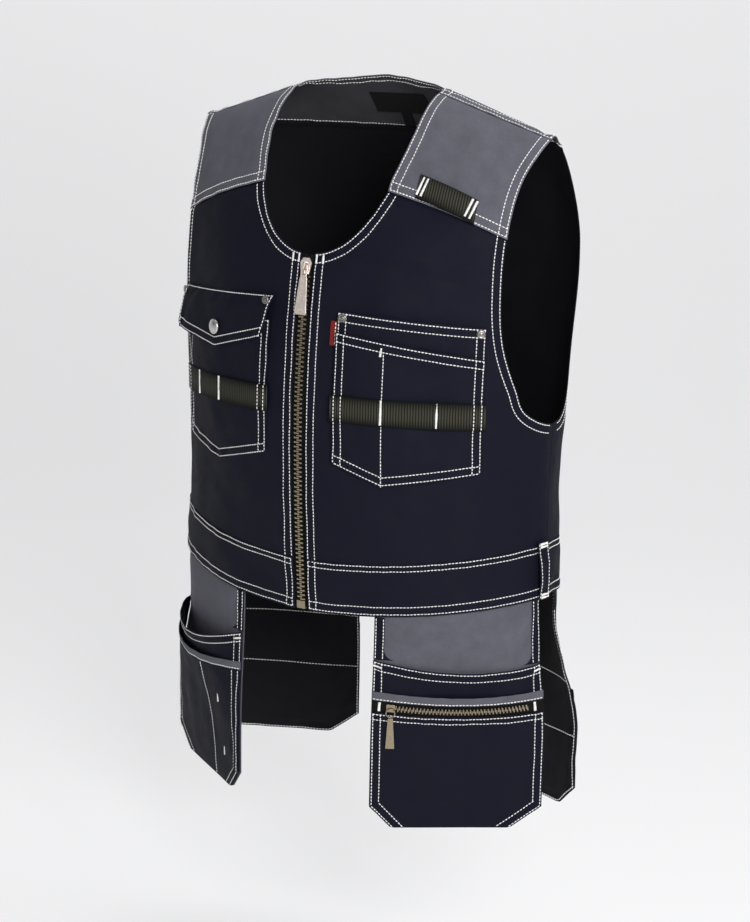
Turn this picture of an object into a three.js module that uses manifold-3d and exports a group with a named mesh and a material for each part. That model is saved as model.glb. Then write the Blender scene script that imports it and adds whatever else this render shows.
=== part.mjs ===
// A sleeveless work vest with a front zip, chest pockets and four holsters that hang below the waistband.
// Millimetres, +Z up, the front faces -Y and the wearer's left is +X. Heights are first counted from the
// hem at the centre front, and the group is then lowered so that its origin lies between the shoulders.
import * as THREE from "three";
import { mergeVertices } from "three/addons/utils/BufferGeometryUtils.js";
import Module from "manifold-3d";

const wasm = await Module();
wasm.setup();

// Driving sizes of the body
const CHEST_HALF_WIDTH = 251;
const FRONT_DEPTH = 152;
const BACK_DEPTH = 128;
const NECK_POINT_HEIGHT = 582; // top of the shoulder beside the neck
const NECK_HALF_WIDTH = 92;
const SHOULDER_HALF_WIDTH = 226;
const SHOULDER_DROP = 45; // from the neck point down to the shoulder's tip
const ARCH_DROP = 165; // how far below the neck point the chest begins to lean in to the shoulder
const ZIP_TOP_DROP = 175; // neck point to the foot of the neckline
const NECK_CURVE_DROP = 23; // below this the neckline curves in
const NAPE_RISE = 11; // the back of the neck above the neck point
const ARMHOLE_DEPTH = 315;
const FRONT_SEAM_DROP_NECK = 104; // front yoke seam below the neck point, at the neckline
const FRONT_SEAM_DROP_ARM = 150; // and at the armhole
const FRONT_SEAM_BOW = 3; // the seam's rise between its two ends
const BACK_SEAM_DROP = 54;
const SHOULDER_SEAM_LEAN = 80; // degrees: 0 is the front of the chest, 90 the ridge, 180 the back
const SHOULDER_GAP_LEAN = 0.4; // degrees: half the gap along the shoulder seam
const HEM_RISE = 23; // the hem at the sides above the hem at the centre
const BAND_HEIGHT = 62;

// Extra rows of the panels beside the neckline's foot and the armhole's foot, in heights above them
const NECK_FOOT_ROWS = [-4, 1, 5, 12, 22];
const ARM_FOOT_ROWS = [-3, 1.5, 5, 13, 26];
const BACK_ARM_FOOT_ROWS = [-4, 4, 14, 32];

// Roundness of the body's sections and of its shoulders: 2 is an ellipse
const FRONT_ROUNDNESS = 1.87;
const BACK_ROUNDNESS = 2.69;
const SHOULDER_ROUNDNESS = 2;
const NAPE_ROUNDNESS = 1.7;
const NECKLINE_ROUNDNESS = 2.17;
const SWELL_ROUNDNESS = 0.8; // of a pocket that is held at its sides

// Steps of the working out: degrees round the body, and millimetres
const GIRTH_STEPS = 120;
const TURN_MARGIN = 0.3;
const SLOPE_TURN = 0.2;
const SLOPE_LENGTH = 0.5;

// Cloth and webbing
const CLOTH = 1.5;
const PATCH_CLOTH = 1.3;
const BAND_CLOTH = 3;
const BAND_PROUD = 1; // the waistband's outside beyond the panels'
const WEBBING = 1.6;
const LABEL_CLOTH = 0.6;
const LAYER_GAP = 0.5; // between one layer and the next
const SEAM_GAP = 0.3; // between pieces that meet edge to edge
const TRIM_GAP = 0.3; // under a rivet or a snap, measured over the curve of the cloth
const TRIM_SAG = 0.25; // the cloth's curve under a rivet's back
const BEHIND_GAP = 0.4; // between the waistband and what hangs behind it

// Main zip
const SLOT_HALF = 9; // centre line to a front panel's folded edge
const TAPE_CLOTH = 0.8;
const TAPE_TUCK = 9; // how far a tape runs under its panel
const TAPE_CENTRE_GAP = 1.2;
const TAPE_TOP_GAP = 1; // below the foot of the neckline
const TOOTH_PITCH = 5.2;
const TOOTH_HEIGHT = 2.3;
const TOOTH_REACH = 1.5; // past the centre line
const TOOTH_ROOT = 3.6;
const TOOTH_SPINE = 5.4;
const TOOTH_PROUD = 0.9; // in front of the panels
const BOX_HALF_WIDTH = 5.5;
const BOX_BOTTOM = 1.5;
const BOX_HEIGHT = 9.5;
const BOX_PROUD = 1.9;
const SLIDER_DROP = 14; // its middle below the foot of the neckline
const SLIDER_HALF_LENGTH = 9;
const SLIDER_HALF_WIDTH_TOP = 7.5;
const SLIDER_HALF_WIDTH_FOOT = 5.5;
const SLIDER_SHOULDER_SHARE = 0.45; // where it is widest, as a share of its half length
const SLIDER_TIP_SHARE = 0.55; // its upper end's width
const SLIDER_PLATE = 1.8;
const SLIDER_NECK_LENGTH = 4;
const SLIDER_NECK_HALF = 0.9;
const BAIL_HALF_WIDTH = 1.2;
const BAIL_HALF_LENGTH = 4.5;
const BAIL_BAR = 1.5;
const PULL_BAR = 1.8; // the pull's cross-bar inside the bail
const PULL_THICKNESS = 2;
const PULL_FRAME_LENGTH = 13;
const PULL_FRAME_HALF = 4;
const PULL_LENGTH = 54; // pivot to the tab's end
const PULL_HALF_END = 7.8;
const PULL_FRAME_BAR = 3; // foot of the window in the pull's frame
const PULL_WAIST = 0.7; // the tab's step out below the frame
const PULL_CORNER = 1.2;
const RUNNING_GAP = 0.4;
const WELD = 0.5; // how deep two members of one casting run into each other

// Chest pockets: across is the distance round the body from the centre front, up is above the hem
const POCKET_INNER = 44;
const POCKET_WIDTH = 166;
const POCKET_BOTTOM_INNER = 179;
const POCKET_BOTTOM_OUTER = 174;
const POCKET_VERTEX = 157;
const POCKET_VERTEX_SHARE = 0.34; // across the pocket on the wearer's left
const FLAPPED_VERTEX_SHARE = 0.5; // across the pocket on the wearer's right
const POCKET_TOP_INNER = 348;
const POCKET_TOP_OUTER = 337;
const SHORT_LAYER_DROP_INNER = 22;
const SHORT_LAYER_DROP_OUTER = 34;
const FLAPPED_POCKET_TOP = 330;
const POCKET_BULGE = 2.6;
const SHORT_LAYER_BULGE = 1;
const FLAP_OVERHANG = 4;
const FLAP_TOP_INNER = 358;
const FLAP_TOP_OUTER = 348;
const FLAP_SIDE_INNER = 309;
const FLAP_SIDE_OUTER = 300;
const FLAP_VERTEX = 288;
const FLAP_TAPER = 12; // each side of the flap draws in by this at its foot
const FLAP_FLARE = 11; // the outer corner stands off the body
const FLAP_FLARE_LENGTH = 50; // below the flap's seam, where it stands off in full
const FLAP_CLEAR_LENGTH = 16; // and where it clears the pocket
const STRAP_HEIGHT = 30;
const STRAP_INNER = 227; // lower edge above the hem
const STRAP_OUTER = 224;
const STRAP_OVERHANG = 3;
const SNAP_RADIUS = 8.7;
const SNAP_HEIGHT = 3.4;
const SNAP_BELOW_TOP = 42;
const RIVET_RADIUS = 4.8;
const RIVET_HEIGHT = 1.8;
const RIVET_INSET = 6.5;
const CAP_RIM = 0.35; // height of a cap's straight rim, as a share of the cap's height
const TAB_WIDTH = 8;
const TAB_HEIGHT = 27;
const TAB_BELOW_TOP = 11;

// Trim on the shoulders and at the waist
const LABEL_WIDTH = 74;
const LABEL_HEIGHT = 24;
const LABEL_BELOW_NAPE = 20;
const SIZE_TAB_WIDTH = 14;
const SIZE_TAB_HEIGHT = 16;
const SHOULDER_STRAP_INNER = 112;
const SHOULDER_STRAP_OUTER = 176;
const SHOULDER_STRAP_WIDTH = 25;
const SHOULDER_STRAP_RISE = 3;
const LOOP_WIDTH = 17;
const LOOP_FROM_SIDE = 11; // side seam to the belt loop's middle
const LOOP_STANDOFF = 3;
const LOOP_END_GAP = 4; // the loop's ends beyond the waistband's edges

// Holsters: across runs from a holster's middle line, drop is below the hem at the centre front
const HOLSTER_HALF_WIDTH = 99;
const HOLSTER_LENGTH = 247;
const HOLSTER_TUCK = 38; // how far it runs up behind the waistband
const FRONT_HOLSTER_MIDDLE = 189; // round the body from the centre front
const BACK_HOLSTER_MIDDLE = 179; // round the body from the centre back
const HANG_LENGTH = 150; // below the hem, where a holster has become flat
const HANG_INSET = 12; // its middle line there, inside the body's outline
const CORNER_DROP = 26;
const CORNER_INNER = 25;
const CORNER_OUTER = 36;
const SIDE_BAND_WIDTH = 12;
const SIDE_BAND_LENGTH = 42; // below the hem at the centre front
const MOUTH_DROP = 50;
const BINDING_DROP = 83;
const BINDING_HEIGHT = 10;
const BINDING_DIP = 4;
const ZIP_SLOT_HEIGHT = 14;
const ZIP_TUCK = 3;
const SMALL_PITCH = 4;
const SMALL_TOOTH = 1.7;
const SMALL_REACH = 1.2;
const SMALL_SPINE = 4;
const SMALL_SPINE_WIDTH = 1.4;
const SMALL_THICKNESS = 2.2;
const ZIP_INSET = 17; // holster's edge to the row of teeth
const SMALL_SLIDER = 10;
const SMALL_SLIDER_HALF = 4.5;
const SMALL_SLIDER_HEIGHT = 3.2;
const SMALL_RING_RADIUS = 5;
const SMALL_RING_BAR = 0.9;
const SMALL_PULL_LENGTH = 36;
const SMALL_PULL_HALF_TOP = 3;
const SMALL_PULL_HALF_END = 5.2;
const BACK_MOUTH_DROP = 100;
const BACK_SWELL = 3;
const HANG_STEPS = 6; // levels at which a holster bends between the hem and its flat part
const LEVEL_MARGIN = 2; // least distance from such a level to a layer's own edges

// Body sections: each length is a share of the driving size that it follows
const SECTIONS = [
  { height: 0, width: 0.96, front: 0.928, back: 0.918 },
  { height: 0.223, width: 0.943, front: 0.993, back: 0.887 },
  { height: 0.464, width: 0.959, front: 1, back: 0.922 },
  { height: 0.67, width: 1, front: 0.914, back: 1 },
  { height: 0.825, width: 0.988, front: 0.776, back: 0.97 },
  { height: 1.031, width: 0.925, front: 0.69, back: 0.86 },
];

// Armhole edges, from its foot to the shoulder's tip: up is a share of the armhole's depth, and across a
// share of the body's half width at that height
const ARMHOLE_FRONT = [
  { up: 0, across: 1 },
  { up: 0.02, across: 0.98 },
  { up: 0.05, across: 0.952 },
  { up: 0.14, across: 0.917 },
  { up: 0.32, across: 0.855 },
  { up: 0.5, across: 0.83 },
  { up: 0.72, across: 0.838 },
  { up: 0.87, across: 0.869 },
  { up: 1, across: 0.942 },
];
const ARMHOLE_BACK = [
  { up: 0, across: 1 },
  { up: 0.03, across: 0.992 },
  { up: 0.08, across: 0.978 },
  { up: 0.2, across: 0.948 },
  { up: 0.42, across: 0.915 },
  { up: 0.62, across: 0.905 },
  { up: 0.82, across: 0.908 },
  { up: 1, across: 0.942 },
];

// Materials
const cloth = (color) => new THREE.MeshStandardMaterial({ color, roughness: 0.75, metalness: 0 });
const metal = (color) => new THREE.MeshStandardMaterial({ color, roughness: 0.35, metalness: 1 });
const NAVY = cloth(0x1d2030);
const GREY = cloth(0x5b5b66);
const BLACK_WEBBING = cloth(0x1c1c18);
const BLACK_TAPE = cloth(0x141414);
const LABEL = cloth(0x101012);
const TAB_RED = cloth(0x7a1f22);
const BRASS = metal(0x8d7f6c);
const NICKEL = metal(0xb9aca6);

// Number helpers
const mix = (a, b, t) => a + (b - a) * t;
const clamp = (t) => Math.min(1, Math.max(0, t));
const ease = (t) => clamp(t) ** 2 * (3 - 2 * clamp(t));
const evenSteps = (count) => Array.from({ length: count + 1 }, (_, i) => i / count);
const radians = THREE.MathUtils.degToRad;
const distinct = (values) =>
  [...values].sort((a, b) => a - b).filter((value, i, all) => i === 0 || value - all[i - 1] > 0.004);

// A smooth curve through the rows of a table, held level outside its ends
function tableAt(rows, key, value, share) {
  const last = rows.length - 1;
  const slope = (i) => (rows[i + 1][value] - rows[i][value]) / (rows[i + 1][key] - rows[i][key]);
  const tangent = (i) => {
    if (i === 0) return slope(0);
    if (i === last) return slope(last - 1);
    const before = rows[i][key] - rows[i - 1][key];
    const after = rows[i + 1][key] - rows[i][key];
    return (slope(i - 1) * after + slope(i) * before) / (before + after);
  };
  const at = Math.min(rows[last][key], Math.max(rows[0][key], share));
  let i = 0;
  while (i < last - 1 && at > rows[i + 1][key]) i += 1;
  const run = rows[i + 1][key] - rows[i][key];
  const t = (at - rows[i][key]) / run;
  return (
    (2 * t ** 3 - 3 * t ** 2 + 1) * rows[i][value] +
    (t ** 3 - 2 * t ** 2 + t) * run * tangent(i) +
    (3 * t ** 2 - 2 * t ** 3) * rows[i + 1][value] +
    (t ** 3 - t ** 2) * run * tangent(i + 1)
  );
}

// The body's outside
const sectionAt = (value, height) => tableAt(SECTIONS, "height", value, height / NECK_POINT_HEIGHT);
const halfWidthAt = (height) => CHEST_HALF_WIDTH * sectionAt("width", height);
const roundnessAt = (isFront) => (isFront ? FRONT_ROUNDNESS : BACK_ROUNDNESS);
const archRoundnessAt = (isFront) => (isFront ? SHOULDER_ROUNDNESS : NAPE_ROUNDNESS);
const depthAt = (isFront, height) =>
  isFront ? FRONT_DEPTH * sectionAt("front", height) : BACK_DEPTH * sectionAt("back", height);
const SPRING_HEIGHT = NECK_POINT_HEIGHT - ARCH_DROP;

// The shoulder's ridge falls evenly to its tip and is rounded off over the neck hole
function ridgeHeight(x) {
  const slope = SHOULDER_DROP / (SHOULDER_HALF_WIDTH - NECK_HALF_WIDTH);
  const rounding = NECK_HALF_WIDTH / 3;
  return NECK_POINT_HEIGHT - slope * (Math.hypot(x, rounding) - Math.hypot(NECK_HALF_WIDTH, rounding));
}

// A point by its turn round the body, 0 at the centre front and 180 at the centre back, and its height
function bodyPoint(turn, height) {
  const isFront = Math.cos(radians(turn)) > 0;
  const power = 2 / roundnessAt(isFront);
  const x = halfWidthAt(height) * Math.sin(radians(turn)) ** power;
  const arch = archRoundnessAt(isFront);
  const climb = clamp((height - SPRING_HEIGHT) / (ridgeHeight(x) - SPRING_HEIGHT));
  const reach = Math.abs(Math.cos(radians(turn))) ** power * (1 - climb ** arch) ** (1 / arch);
  return new THREE.Vector3(x, (isFront ? -1 : 1) * depthAt(isFront, height) * reach, height);
}

// A point over the shoulder by its distance from the middle and its lean, 0 in front and 180 behind
function shoulderPoint(x, lean) {
  const isFront = lean < 90;
  const arch = archRoundnessAt(isFront);
  const climb = Math.sin(radians(lean)) ** (2 / arch);
  const height = SPRING_HEIGHT + (ridgeHeight(x) - SPRING_HEIGHT) * climb;
  const across = Math.min(0.9999, Math.abs(x) / halfWidthAt(height));
  const depth = depthAt(isFront, height) * (1 - across ** roundnessAt(isFront)) ** (1 / roundnessAt(isFront));
  const reach = Math.abs(Math.cos(radians(lean))) ** (2 / arch);
  return new THREE.Vector3(x, (isFront ? -1 : 1) * depth * reach, height);
}

// A point with the cloth's outward normal, from the slopes of its surface
function framed(surface, a, b, stepA, stepB) {
  const alongA = surface(a + stepA, b).sub(surface(a - stepA, b));
  const alongB = surface(a, b + stepB).sub(surface(a, b - stepB));
  return { point: surface(a, b), normal: alongA.cross(alongB).normalize() };
}
const insideTurn = (turn) => Math.max(TURN_MARGIN, Math.min(180 - TURN_MARGIN, turn));
const bodyFrame = (turn, height) => framed(bodyPoint, insideTurn(turn), height, SLOPE_TURN, SLOPE_LENGTH);
const shoulderFrame = (x, lean) => framed(shoulderPoint, x, lean, SLOPE_LENGTH, SLOPE_LENGTH);

// Turns from other measures
const turnAtAcross = (across, isFront) => {
  const turn = THREE.MathUtils.radToDeg(Math.asin(Math.min(1, across) ** (roundnessAt(isFront) / 2)));
  return isFront ? turn : 180 - turn;
};
const turnAtX = (x, height) => turnAtAcross(x / halfWidthAt(height), true);
function turnAtDepth(depth, height, isFront) {
  const share = (depth / depthAt(isFront, height)) ** (roundnessAt(isFront) / 2);
  const turn = THREE.MathUtils.radToDeg(Math.acos(share));
  return isFront ? turn : 180 - turn;
}

// The turn at a distance round the body from the centre front
function turnAtGirth(distance, height) {
  let before = 0;
  let from = bodyPoint(0, height);
  for (let i = 1; i <= GIRTH_STEPS; i += 1) {
    const to = bodyPoint((180 * i) / GIRTH_STEPS, height);
    const step = to.distanceTo(from);
    if (before + step >= distance) return (180 / GIRTH_STEPS) * (i - 1 + (distance - before) / step);
    before += step;
    from = to;
  }
  return 180;
}
function halfGirth(height) {
  const points = evenSteps(GIRTH_STEPS).map((share) => bodyPoint(180 * share, height));
  return points.slice(1).reduce((sum, point, i) => sum + point.distanceTo(points[i]), 0);
}
const girthFrame = (distance, height) => bodyFrame(turnAtGirth(distance, height), height);

// Edges and seams of the body
const ZIP_TOP = NECK_POINT_HEIGHT - ZIP_TOP_DROP;
const ARMHOLE_FOOT = ridgeHeight(SHOULDER_HALF_WIDTH) - ARMHOLE_DEPTH;
const BACK_SEAM = NECK_POINT_HEIGHT - BACK_SEAM_DROP;
const NAPE = NECK_POINT_HEIGHT + NAPE_RISE;
const hemHeight = (turn) => HEM_RISE * Math.sin(radians(turn)) ** 2;
function neckX(height) {
  const below = clamp((NECK_POINT_HEIGHT - NECK_CURVE_DROP - height) / (ZIP_TOP_DROP - NECK_CURVE_DROP));
  return NECK_HALF_WIDTH * (1 - below ** NECKLINE_ROUNDNESS) ** (1 / NECKLINE_ROUNDNESS);
}
const frontEdgeTurn = (height) => turnAtX(Math.max(SLOT_HALF, height < ZIP_TOP ? 0 : neckX(height)), height);
const armholeX = (height, isFront) =>
  halfWidthAt(height) *
  tableAt(isFront ? ARMHOLE_FRONT : ARMHOLE_BACK, "up", "across", (height - ARMHOLE_FOOT) / ARMHOLE_DEPTH);
function sideTurn(height, isFront) {
  const seam = turnAtDepth(SEAM_GAP / 2, height, isFront);
  if (height <= ARMHOLE_FOOT) return seam;
  const armhole = turnAtAcross(armholeX(height, isFront) / halfWidthAt(height), isFront);
  return isFront ? Math.min(seam, armhole) : Math.max(seam, armhole);
}
const frontSeamHeight = (share) =>
  NECK_POINT_HEIGHT - mix(FRONT_SEAM_DROP_NECK, FRONT_SEAM_DROP_ARM, share) + FRONT_SEAM_BOW * Math.sin(Math.PI * share);

// Closed sheet of cloth over a grid: place gives a point and its outward normal for the shares u and v,
// and the cloth lies between outer and outer less its thickness along that normal
function sheet({ columns, rows, place, outer, thickness }) {
  const positions = [];
  const index = [];
  const wide = columns.length;
  const layerSize = wide * rows.length;
  for (const depth of [0, thickness]) {
    for (const v of rows) {
      for (const u of columns) {
        const { point, normal } = place(u, v);
        positions.push(...point.clone().addScaledVector(normal, outer(u, v) - depth).toArray());
      }
    }
  }
  const quad = (a, b, c, d) => index.push(a, b, c, a, c, d);
  for (let row = 0; row < rows.length - 1; row += 1) {
    for (let column = 0; column < wide - 1; column += 1) {
      const a = row * wide + column;
      quad(a, a + 1, a + wide + 1, a + wide);
      quad(layerSize + a, layerSize + a + wide, layerSize + a + wide + 1, layerSize + a + 1);
    }
  }
  const rim = [
    ...columns.slice(1).map((_, i) => i),
    ...rows.slice(1).map((_, i) => (i + 1) * wide - 1),
    ...columns.slice(1).map((_, i) => layerSize - 1 - i),
    ...rows.slice(1).map((_, i) => (rows.length - 1 - i) * wide),
  ];
  rim.forEach((a, i) => {
    const b = rim[(i + 1) % rim.length];
    quad(a, layerSize + a, layerSize + b, b);
  });
  const geometry = new THREE.BufferGeometry();
  geometry.setAttribute("position", new THREE.Float32BufferAttribute(positions, 3));
  geometry.setIndex(index);
  return geometry;
}

// The same geometry on the other side of the body
function mirrored(geometry) {
  const copy = geometry.clone();
  const position = copy.getAttribute("position");
  for (let i = 0; i < position.count; i += 1) position.setX(i, -position.getX(i));
  const index = [...copy.index.array];
  for (let i = 0; i < index.length; i += 3) [index[i + 1], index[i + 2]] = [index[i + 2], index[i + 1]];
  copy.setIndex(index);
  return copy;
}

// A closed geometry whose vertices are shared and moved one by one
function reshaped(geometry, move) {
  const bare = geometry.clone();
  bare.deleteAttribute("normal");
  bare.deleteAttribute("uv");
  const merged = mergeVertices(bare, 1e-4);
  const position = merged.getAttribute("position");
  const moved = new THREE.Vector3();
  for (let i = 0; i < position.count; i += 1) {
    moved.copy(move(moved.fromBufferAttribute(position, i)));
    position.setXYZ(i, moved.x, moved.y, moved.z);
  }
  return merged;
}

// An outline in the cloth's own plane, thickened outwards from one lift to another
function extruded(points, low, high, hole) {
  const shape = new THREE.Shape(points.map(([x, y]) => new THREE.Vector2(x, y)));
  if (hole) shape.holes.push(new THREE.Path(hole.map(([x, y]) => new THREE.Vector2(x, y))));
  return new THREE.ExtrudeGeometry(shape, { depth: high - low, bevelEnabled: false }).translate(0, 0, low);
}
const blockOutline = (left, right, bottom, top) => [
  [left, bottom],
  [right, bottom],
  [right, top],
  [left, top],
];

// Solids joined into one
function joined(geometries) {
  const solids = geometries.map((geometry) => {
    const merged = reshaped(geometry, (p) => p);
    return new wasm.Manifold(
      new wasm.Mesh({
        numProp: 3,
        vertProperties: merged.getAttribute("position").array,
        triVerts: new Uint32Array(merged.index.array),
      }),
    );
  });
  const mesh = wasm.Manifold.union(solids).getMesh();
  const geometry = new THREE.BufferGeometry();
  geometry.setAttribute("position", new THREE.BufferAttribute(mesh.vertProperties, 3));
  geometry.setIndex(new THREE.BufferAttribute(mesh.triVerts, 1));
  return geometry;
}

// A round cap with a slightly domed face, its flat back on the cloth
function cap(radius, height) {
  const rim = CAP_RIM * height;
  const dome = evenSteps(3).map((share) => {
    const angle = (share * Math.PI) / 2;
    return new THREE.Vector2(radius * Math.cos(angle), rim + (height - rim) * Math.sin(angle));
  });
  dome[dome.length - 1].x = 0;
  return new THREE.LatheGeometry([new THREE.Vector2(0, 0), new THREE.Vector2(radius, 0), ...dome], 16);
}
function standingOn(geometry, point, normal) {
  const turn = new THREE.Quaternion().setFromUnitVectors(new THREE.Vector3(0, 1, 0), normal);
  return reshaped(geometry, (p) => p.applyQuaternion(turn).add(point));
}

// The parts as a scene graph
const group = new THREE.Group();
function add(name, geometry, material) {
  const mesh = new THREE.Mesh(geometry, material);
  mesh.name = name;
  group.add(mesh);
  return mesh;
}
function addPair(name, geometry, material) {
  add(`${name}_left`, geometry, material);
  add(`${name}_right`, mirrored(geometry), material);
}

// Body panels
const flat = () => 0;
const FRONT_START = turnAtX(SLOT_HALF, BAND_HEIGHT);
const bandTop = (turn) => hemHeight(turn) + BAND_HEIGHT;

function frontPanel() {
  const bottom = (u) => bandTop(mix(FRONT_START, 90, u)) + SEAM_GAP;
  const top = (u) => frontSeamHeight(u) - SEAM_GAP / 2;
  const share = (height, u) => (height - bottom(u)) / (top(u) - bottom(u));
  const neckRows = NECK_FOOT_ROWS.map((above) => share(ZIP_TOP + above, 0));
  const armholeRows = ARM_FOOT_ROWS.map((above) => share(ARMHOLE_FOOT + above, 1));
  return sheet({
    columns: evenSteps(13),
    rows: distinct([...evenSteps(10), ...neckRows, ...armholeRows]),
    place: (u, v) => {
      const height = mix(bottom(u), top(u), v);
      return bodyFrame(mix(frontEdgeTurn(height), sideTurn(height, true), u), height);
    },
    outer: flat,
    thickness: CLOTH,
  });
}

function backPanel() {
  const turnAt = (u, height) => {
    const start = sideTurn(height, false);
    return mix(start, 360 - start, u);
  };
  const place = (u, v) => {
    const top = BACK_SEAM - SEAM_GAP / 2;
    const bottom = bandTop(mix(90, 270, u)) + SEAM_GAP;
    const height = mix(bottom, top, v);
    const turn = turnAt(u, height);
    const { point, normal } = bodyFrame(Math.min(turn, 360 - turn), height);
    if (turn > 180) {
      point.x *= -1;
      normal.x *= -1;
    }
    return { point, normal };
  };
  const footShare = (above) => {
    const bottom = bandTop(90) + SEAM_GAP;
    return (ARMHOLE_FOOT + above - bottom) / (BACK_SEAM - bottom);
  };
  return sheet({
    columns: evenSteps(26),
    rows: distinct([...evenSteps(10), ...BACK_ARM_FOOT_ROWS.map(footShare)]),
    place,
    outer: flat,
    thickness: CLOTH,
  });
}

// The lean at a height over the shoulder, in front or behind
function leanAt(x, height, isFront) {
  const climb = clamp((height - SPRING_HEIGHT) / (ridgeHeight(x) - SPRING_HEIGHT));
  const lean = THREE.MathUtils.radToDeg(Math.asin(climb ** (archRoundnessAt(isFront) / 2)));
  return isFront ? lean : 180 - lean;
}

function frontYokeFrame(u, v) {
  const seam = frontSeamHeight(u) + SEAM_GAP / 2;
  const seamX = (height) => halfWidthAt(height) * Math.sin(radians(seamTurn(u, height))) ** (2 / FRONT_ROUNDNESS);
  const start = leanAt(seamX(seam), seam, true);
  const lean = mix(start, SHOULDER_SEAM_LEAN - SHOULDER_GAP_LEAN, v);
  let x = seamX(seam);
  for (let pass = 0; pass < 6; pass += 1) {
    const height = shoulderPoint(x, lean).z;
    x = mix(mix(neckX(height), armholeX(height, true), u), seamX(seam), (1 - v) ** 6);
  }
  return shoulderFrame(x, lean);
}
const seamTurn = (u, height) => mix(frontEdgeTurn(height), sideTurn(height, true), u);

function frontYoke() {
  return sheet({
    columns: evenSteps(9),
    rows: [0, 0.12, 0.26, 0.42, 0.6, 0.8, 1],
    place: frontYokeFrame,
    outer: flat,
    thickness: CLOTH,
  });
}

// The back yoke's upper edge: the shoulder seam, and between the necks' two sides the nape's curve
function backYokeTopLean(x) {
  const inside = 1 - Math.min(1, Math.abs(x) / NECK_HALF_WIDTH) ** NECKLINE_ROUNDNESS;
  const seam = SHOULDER_SEAM_LEAN + SHOULDER_GAP_LEAN;
  return seam + (leanAt(0, NAPE, false) - seam) * inside ** (1 / NECKLINE_ROUNDNESS);
}

// Across the back yoke, u from 0 to 1 is the right shoulder, 1 to 2 the neck and 2 to 3 the left shoulder
function backYokeFrame(u, v) {
  const side = u < 1.5 ? -1 : 1;
  const outward = side < 0 ? 1 - u : u - 2;
  const neck = NECK_HALF_WIDTH * Math.sin(radians(90 * clamp(Math.abs(u - 1.5) * 2)));
  let x = neck;
  let lean = 0;
  for (let pass = 0; pass < 8; pass += 1) {
    lean = mix(backYokeTopLean(x), leanAt(x, BACK_SEAM + SEAM_GAP / 2, false), v);
    const height = shoulderPoint(SHOULDER_HALF_WIDTH, lean).z;
    if (outward > 0) x = mix(NECK_HALF_WIDTH, armholeX(height, lean < 90), outward);
  }
  return shoulderFrame(side * x, lean);
}

function backYoke() {
  const shoulder = evenSteps(6);
  const columns = distinct([...shoulder, ...evenSteps(12).map((u) => 1 + u), ...shoulder.map((u) => 2 + u)]);
  return sheet({
    columns,
    rows: [0, 0.1, 0.22, 0.38, 0.58, 0.8, 1],
    place: backYokeFrame,
    outer: flat,
    thickness: CLOTH,
  });
}

function waistband(hemFrom, hemTo, fromTurn, toTurn, steps) {
  return sheet({
    columns: evenSteps(steps),
    rows: [0, 0.5, 1],
    place: (u, v) => {
      const height = hemHeight(mix(hemFrom, hemTo, u)) + BAND_HEIGHT * v;
      const turn = mix(fromTurn(height), toTurn(height), u);
      const { point, normal } = bodyFrame(Math.min(turn, 360 - turn), height);
      if (turn > 180) {
        point.x *= -1;
        normal.x *= -1;
      }
      return { point, normal };
    },
    outer: () => BAND_PROUD,
    thickness: BAND_CLOTH,
  });
}

addPair("front_panel", frontPanel(), NAVY);
add("back_panel", backPanel(), NAVY);
addPair("front_yoke", frontYoke(), GREY);
add("back_yoke", backYoke(), GREY);
addPair(
  "waistband_front",
  waistband(
    FRONT_START,
    90,
    (height) => turnAtX(SLOT_HALF, height),
    (height) => turnAtDepth(SEAM_GAP / 2, height, true),
    13,
  ),
  NAVY,
);
add(
  "waistband_back",
  waistband(
    90,
    270,
    (height) => turnAtDepth(SEAM_GAP / 2, height, false),
    (height) => 360 - turnAtDepth(SEAM_GAP / 2, height, false),
    26,
  ),
  NAVY,
);

// Main zip: tapes behind the panels' edges, and teeth on the tapes' own edges
const BAND_INSIDE = BAND_PROUD - BAND_CLOTH;
const TAPE_OUTSIDE = BAND_INSIDE - BEHIND_GAP;
const TEETH_BACK = TAPE_OUTSIDE + SEAM_GAP;
const BOX_TOP = BOX_BOTTOM + BOX_HEIGHT;
const SLIDER_HEIGHT = ZIP_TOP - SLIDER_DROP;
const TEETH_TOP = SLIDER_HEIGHT + SLIDER_HALF_LENGTH - SLIDER_NECK_LENGTH - RUNNING_GAP;

function zipTape() {
  const top = ZIP_TOP - TAPE_TOP_GAP;
  return sheet({
    columns: [0, 0.5, 1],
    rows: evenSteps(14),
    place: (u, v) => {
      const height = mix(BOX_BOTTOM, top, v);
      return bodyFrame(turnAtX(mix(TAPE_CENTRE_GAP, SLOT_HALF + TAPE_TUCK, u), height), height);
    },
    outer: () => TAPE_OUTSIDE,
    thickness: TAPE_CLOTH,
  });
}

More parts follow.
